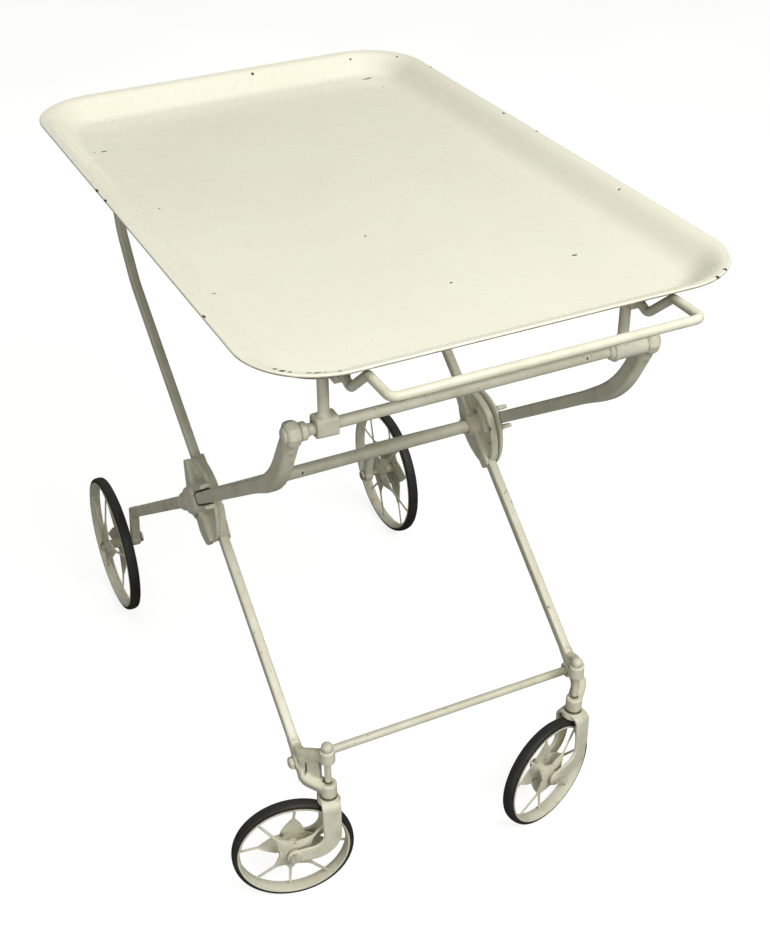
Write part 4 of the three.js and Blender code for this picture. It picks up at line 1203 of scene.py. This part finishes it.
def build_wheel(name, joint, hub_length, arms, outer_plate, inner_plate):
    """One wheel's tyre, rim, hub and two stars, turned from X to the joint's axis."""
    low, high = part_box(f"{name}_tyre")
    radius = (high.z - low.z) / 2
    centre = joint_at(joint)
    along = joint_axis(joint)
    turn = math.pi if name == "rear_wheel_left" else math.atan2(along.y, along.x)
    place = Matrix.Translation(centre) @ Matrix.Rotation(turn, 4, "Z")
    wide = 14 * MM
    parts = {
        "tyre": (wheel_tyre(radius, wide), RUBBER),
        "rim": (wheel_rim(radius, wide + 1 * MM), WHEEL),
        "hub": (wheel_hub(hub_length), WHEEL),
    }
    for part, (solid, material) in parts.items():
        obj = new_object(f"{name}_{part}_fine", *solid)
        settle(moved(shade(obj), place), name, material, f"{name}_{part}")
    for part, end, shape in (("outer_star", 1, outer_plate), ("inner_star", -1, inner_plate)):
        star = wheel_star(radius, hub_length, end, arms, math.radians(STAR_PHASE[arms]), shape)
        obj = new_object(f"{name}_{part}_fine", *join(star))
        settle(moved(shade(obj, 50), place), name, WHEEL, f"{name}_{part}")


# ---- casters ----

CROWN_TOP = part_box("caster_fork_right")[1].z
HUB_LENGTH = 24 * MM
FORK_IN = HUB_LENGTH / 2 + 1.2 * MM
FORK_SHEET = 4.5 * MM


def fork_solids(trail, drop):
    """A fork in its own frame: axle along X, trail along Y, crown top at the origin."""
    out = FORK_IN + FORK_SHEET / 2
    solids = []
    top = -4.5 * MM
    for side in (-1, 1):
        corners = [
            Vector((0, 0, top)), Vector((side * out * 0.97, 0, top - 0.5 * MM)),
            Vector((side * out, 0, -30 * MM)), Vector((side * out, -1 * MM, drop + 3 * MM)),
            Vector((side * out, trail + 1 * MM, drop)),
        ]
        arch = rounded(corners[:3], 8 * MM, 6)
        bend = rounded(corners[2:], 26 * MM, 10)
        path = evenly(arch[:-1] + bend, 60)
        section = soft_rectangle(22 * MM, FORK_SHEET, 1.8 * MM, 4)
        solids.append(sweep(path, section, side=Vector((0, 1, 0)), scale=lambda t: 1.02 - 0.2 * t ** 2))
        half = FORK_SHEET / 2
        profile = [
            (8.6 * MM, -half), (9.6 * MM, -half + 1 * MM), (9.6 * MM, half - 1 * MM), (8.6 * MM, half)]
        solids.append(turned(profile, Vector((side * out, trail, drop)), X_AXIS, 40))
    crown = in_mm((14, -9), (12.2, -5.5), (10, -2), (9.2, -0.4), (9, 0))
    solids.append(turned(crown, Vector(), Z_AXIS, 40))
    return solids


def build_caster(name):
    body = f"caster_{name}"
    stem = joint_at(f"caster_swivel_{name}")
    wheel = joint_at(f"caster_spin_{name}")
    along = joint_axis(f"caster_spin_{name}")
    trail_way = Vector((wheel.x - stem.x, wheel.y - stem.y, 0))
    trail = trail_way.length
    drop = wheel.z - CROWN_TOP
    x_way = trail_way.normalized().cross(Z_AXIS)
    turn = Matrix((x_way, trail_way.normalized(), Z_AXIS)).transposed().to_4x4()
    place = Matrix.Translation(Vector((stem.x, stem.y, CROWN_TOP))) @ turn
    bore = cylinder(Vector((0, 0, -6 * MM)), Vector((0, 0, 10 * MM)), STEM_RADIUS + 0.3 * MM)
    axle_bore = cross_cylinder(Vector((0, trail, drop)), -4 * PAST, 4 * PAST, 4.9 * MM)
    fork = cast(f"caster_fork_{name}_fine", fork_solids(trail, drop), [bore, axle_bore], voxel=0.7)
    settle(moved(fork, place), body, CASTING, f"caster_fork_{name}")
    low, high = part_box(f"caster_stem_{name}")
    tall = high.z - low.z
    head = tall - 9 * MM
    wide = 6.5 * MM
    profile = [
        (STEM_RADIUS, 0), (STEM_RADIUS, head), (6 * MM, head), (wide, head + 0.8 * MM),
        (wide, head + 4.4 * MM),
    ]
    for k in range(1, 7):
        angle = math.pi / 2 * k / 6
        rise = head + 4.4 * MM + 4.6 * MM * math.sin(angle)
        profile.append((max(wide * math.cos(angle), 0.05 * MM), rise))
    pin = turned(profile, Vector((stem.x, stem.y, low.z)), Z_AXIS, 40)
    place_solid(f"caster_stem_{name}", pin, body, CASTING)
    out = FORK_IN + FORK_SHEET
    profile = [
        (4 * MM, -out - 2.6 * MM), (6.6 * MM, -out - 2.2 * MM), (6.8 * MM, -out - 0.2 * MM),
        (4.5 * MM, -out), (4.5 * MM, out), (6.8 * MM, out + 0.2 * MM), (6.4 * MM, out + 2.4 * MM),
        (3.6 * MM, out + 3.2 * MM),
    ]
    place_solid(f"caster_axle_{name}", turned(profile, wheel, along, 40), body, STEEL)
    build_wheel(f"caster_wheel_{name}", f"caster_spin_{name}", HUB_LENGTH, 4, BROAD_PLATE, SMALL_PLATE)


# ---- hidden fixings keep their CAD solids, with eased edges ----

def ease_cad_fixings():
    for stem in ("handle_clip", "rest_catch"):
        for name, _ in SIDES:
            obj = frame["nodes"][f"{stem}_{name}"]
            obj.data.materials.clear()
            obj.data.materials.append(CASTING)
            bevel = obj.modifiers.new("eased", "BEVEL")
            bevel.width = 0.6 * MM
            bevel.segments = 3
            bevel.limit_method = "ANGLE"


# ---- stage, light and camera ----

FLOOR_GLOW = 0.83
SKY_COLOUR = (1, 0.995, 0.95, 1)
SKY_STRENGTH = 0.34
# Each area light: its name, place, aim, size and power, in metres and watts.
LIGHTS = (
    ("key", (0.5, -2.1, 1.75), (0, 0, -0.2), (1.5, 1.1), 61),
    ("low_fill", (-1.5, -2.0, -0.25), (-0.1, -0.2, -0.5), (1.2, 0.7), 12),
    ("top", (0.1, 0.2, 2.6), (0, 0, 0), (2.6, 2.6), 27),
)
# The camera's values were fitted to the photo's perspective: places in millimetres above the ground.
CAMERA_PLACE = spot(-621.3, -1377.4, 1369.8)
CAMERA_AIM = spot(-36.0, -19.4, 406.4)
CAMERA_LENS = 56.19
CAMERA_SHIFT = (0.0578, -0.0071)
CAMERA_ROLL = 1.85  # degrees


def build_stage():
    """A plain floor, near white to the camera and darker to the light it throws back up."""
    half = 30.0
    mesh = bpy.data.meshes.new("floor")
    corners = [(x * half, y * half, GROUND) for x, y in ((-1, -1), (1, -1), (1, 1), (-1, 1))]
    mesh.from_pydata(corners, [], [(0, 1, 2, 3)])
    floor = bpy.data.objects.new("floor", mesh)
    bpy.context.scene.collection.objects.link(floor)
    n = Nodes("pale_floor")
    seen = n.add("ShaderNodeLightPath").outputs["Is Camera Ray"]
    tone = n.ramp(n.noise(1.5, 2, seed=1), 0.3, 0.7, 0.97, 1.0)
    n.finish(n.mix(seen, (0.15, 0.15, 0.145, 1), (0.34, 0.34, 0.335, 1)), 0.9, Specular_IOR_Level=0.0)
    n.link((1, 1, 0.995, 1), n.shader.inputs["Emission Color"])
    glow = n.times(n.times(seen, FLOOR_GLOW), tone)
    n.link(glow, n.shader.inputs["Emission Strength"])
    mesh.materials.append(n.material)


def area_light(name, place, aim, size, power):
    data = bpy.data.lights.new(name, "AREA")
    data.shape = "RECTANGLE"
    data.size, data.size_y = size
    data.energy = power
    light = bpy.data.objects.new(name, data)
    light.location = place
    light.rotation_mode = "QUATERNION"
    light.rotation_quaternion = (Vector(aim) - Vector(place)).to_track_quat("-Z", "Y")
    bpy.context.scene.collection.objects.link(light)


def build_light():
    world = bpy.data.worlds.new("studio")
    bpy.context.scene.world = world
    world.use_nodes = True
    background = world.node_tree.nodes["Background"]
    background.inputs["Color"].default_value = SKY_COLOUR
    background.inputs["Strength"].default_value = SKY_STRENGTH
    for light in LIGHTS:
        area_light(*light)
    bpy.context.scene.view_settings.view_transform = "Standard"


def build_camera():
    """The viewer stands at the handle end, to its left, and looks down along the tray."""
    data = bpy.data.cameras.new("camera")
    data.lens = CAMERA_LENS
    data.shift_x, data.shift_y = CAMERA_SHIFT
    camera = bpy.data.objects.new("camera", data)
    bpy.context.scene.collection.objects.link(camera)
    forward = (CAMERA_AIM - CAMERA_PLACE).normalized()
    camera.rotation_mode = "QUATERNION"
    level = forward.to_track_quat("-Z", "Y")
    roll = Matrix.Rotation(math.radians(CAMERA_ROLL), 4, forward).to_quaternion()
    camera.rotation_quaternion = roll @ level
    camera.location = CAMERA_PLACE
    bpy.context.scene.camera = camera


build_pan()
build_handle()
build_hinge()
build_axle_leg_bar()
build_tail()
build_outer_knuckle()
build_rear_axles()
build_caster_leg_bars()
build_inner_knuckle()
build_cross_bars()
build_brackets()
for side_name, _ in SIDES:
    plates = (SMALL_PLATE, BROAD_PLATE) if side_name == "left" else (BROAD_PLATE, SMALL_PLATE)
    build_wheel(f"rear_wheel_{side_name}", f"rear_spin_{side_name}", REAR_HUB_LENGTH, 5, *plates)
    build_caster(side_name)
ease_cad_fixings()
build_stage()
build_light()
build_camera()
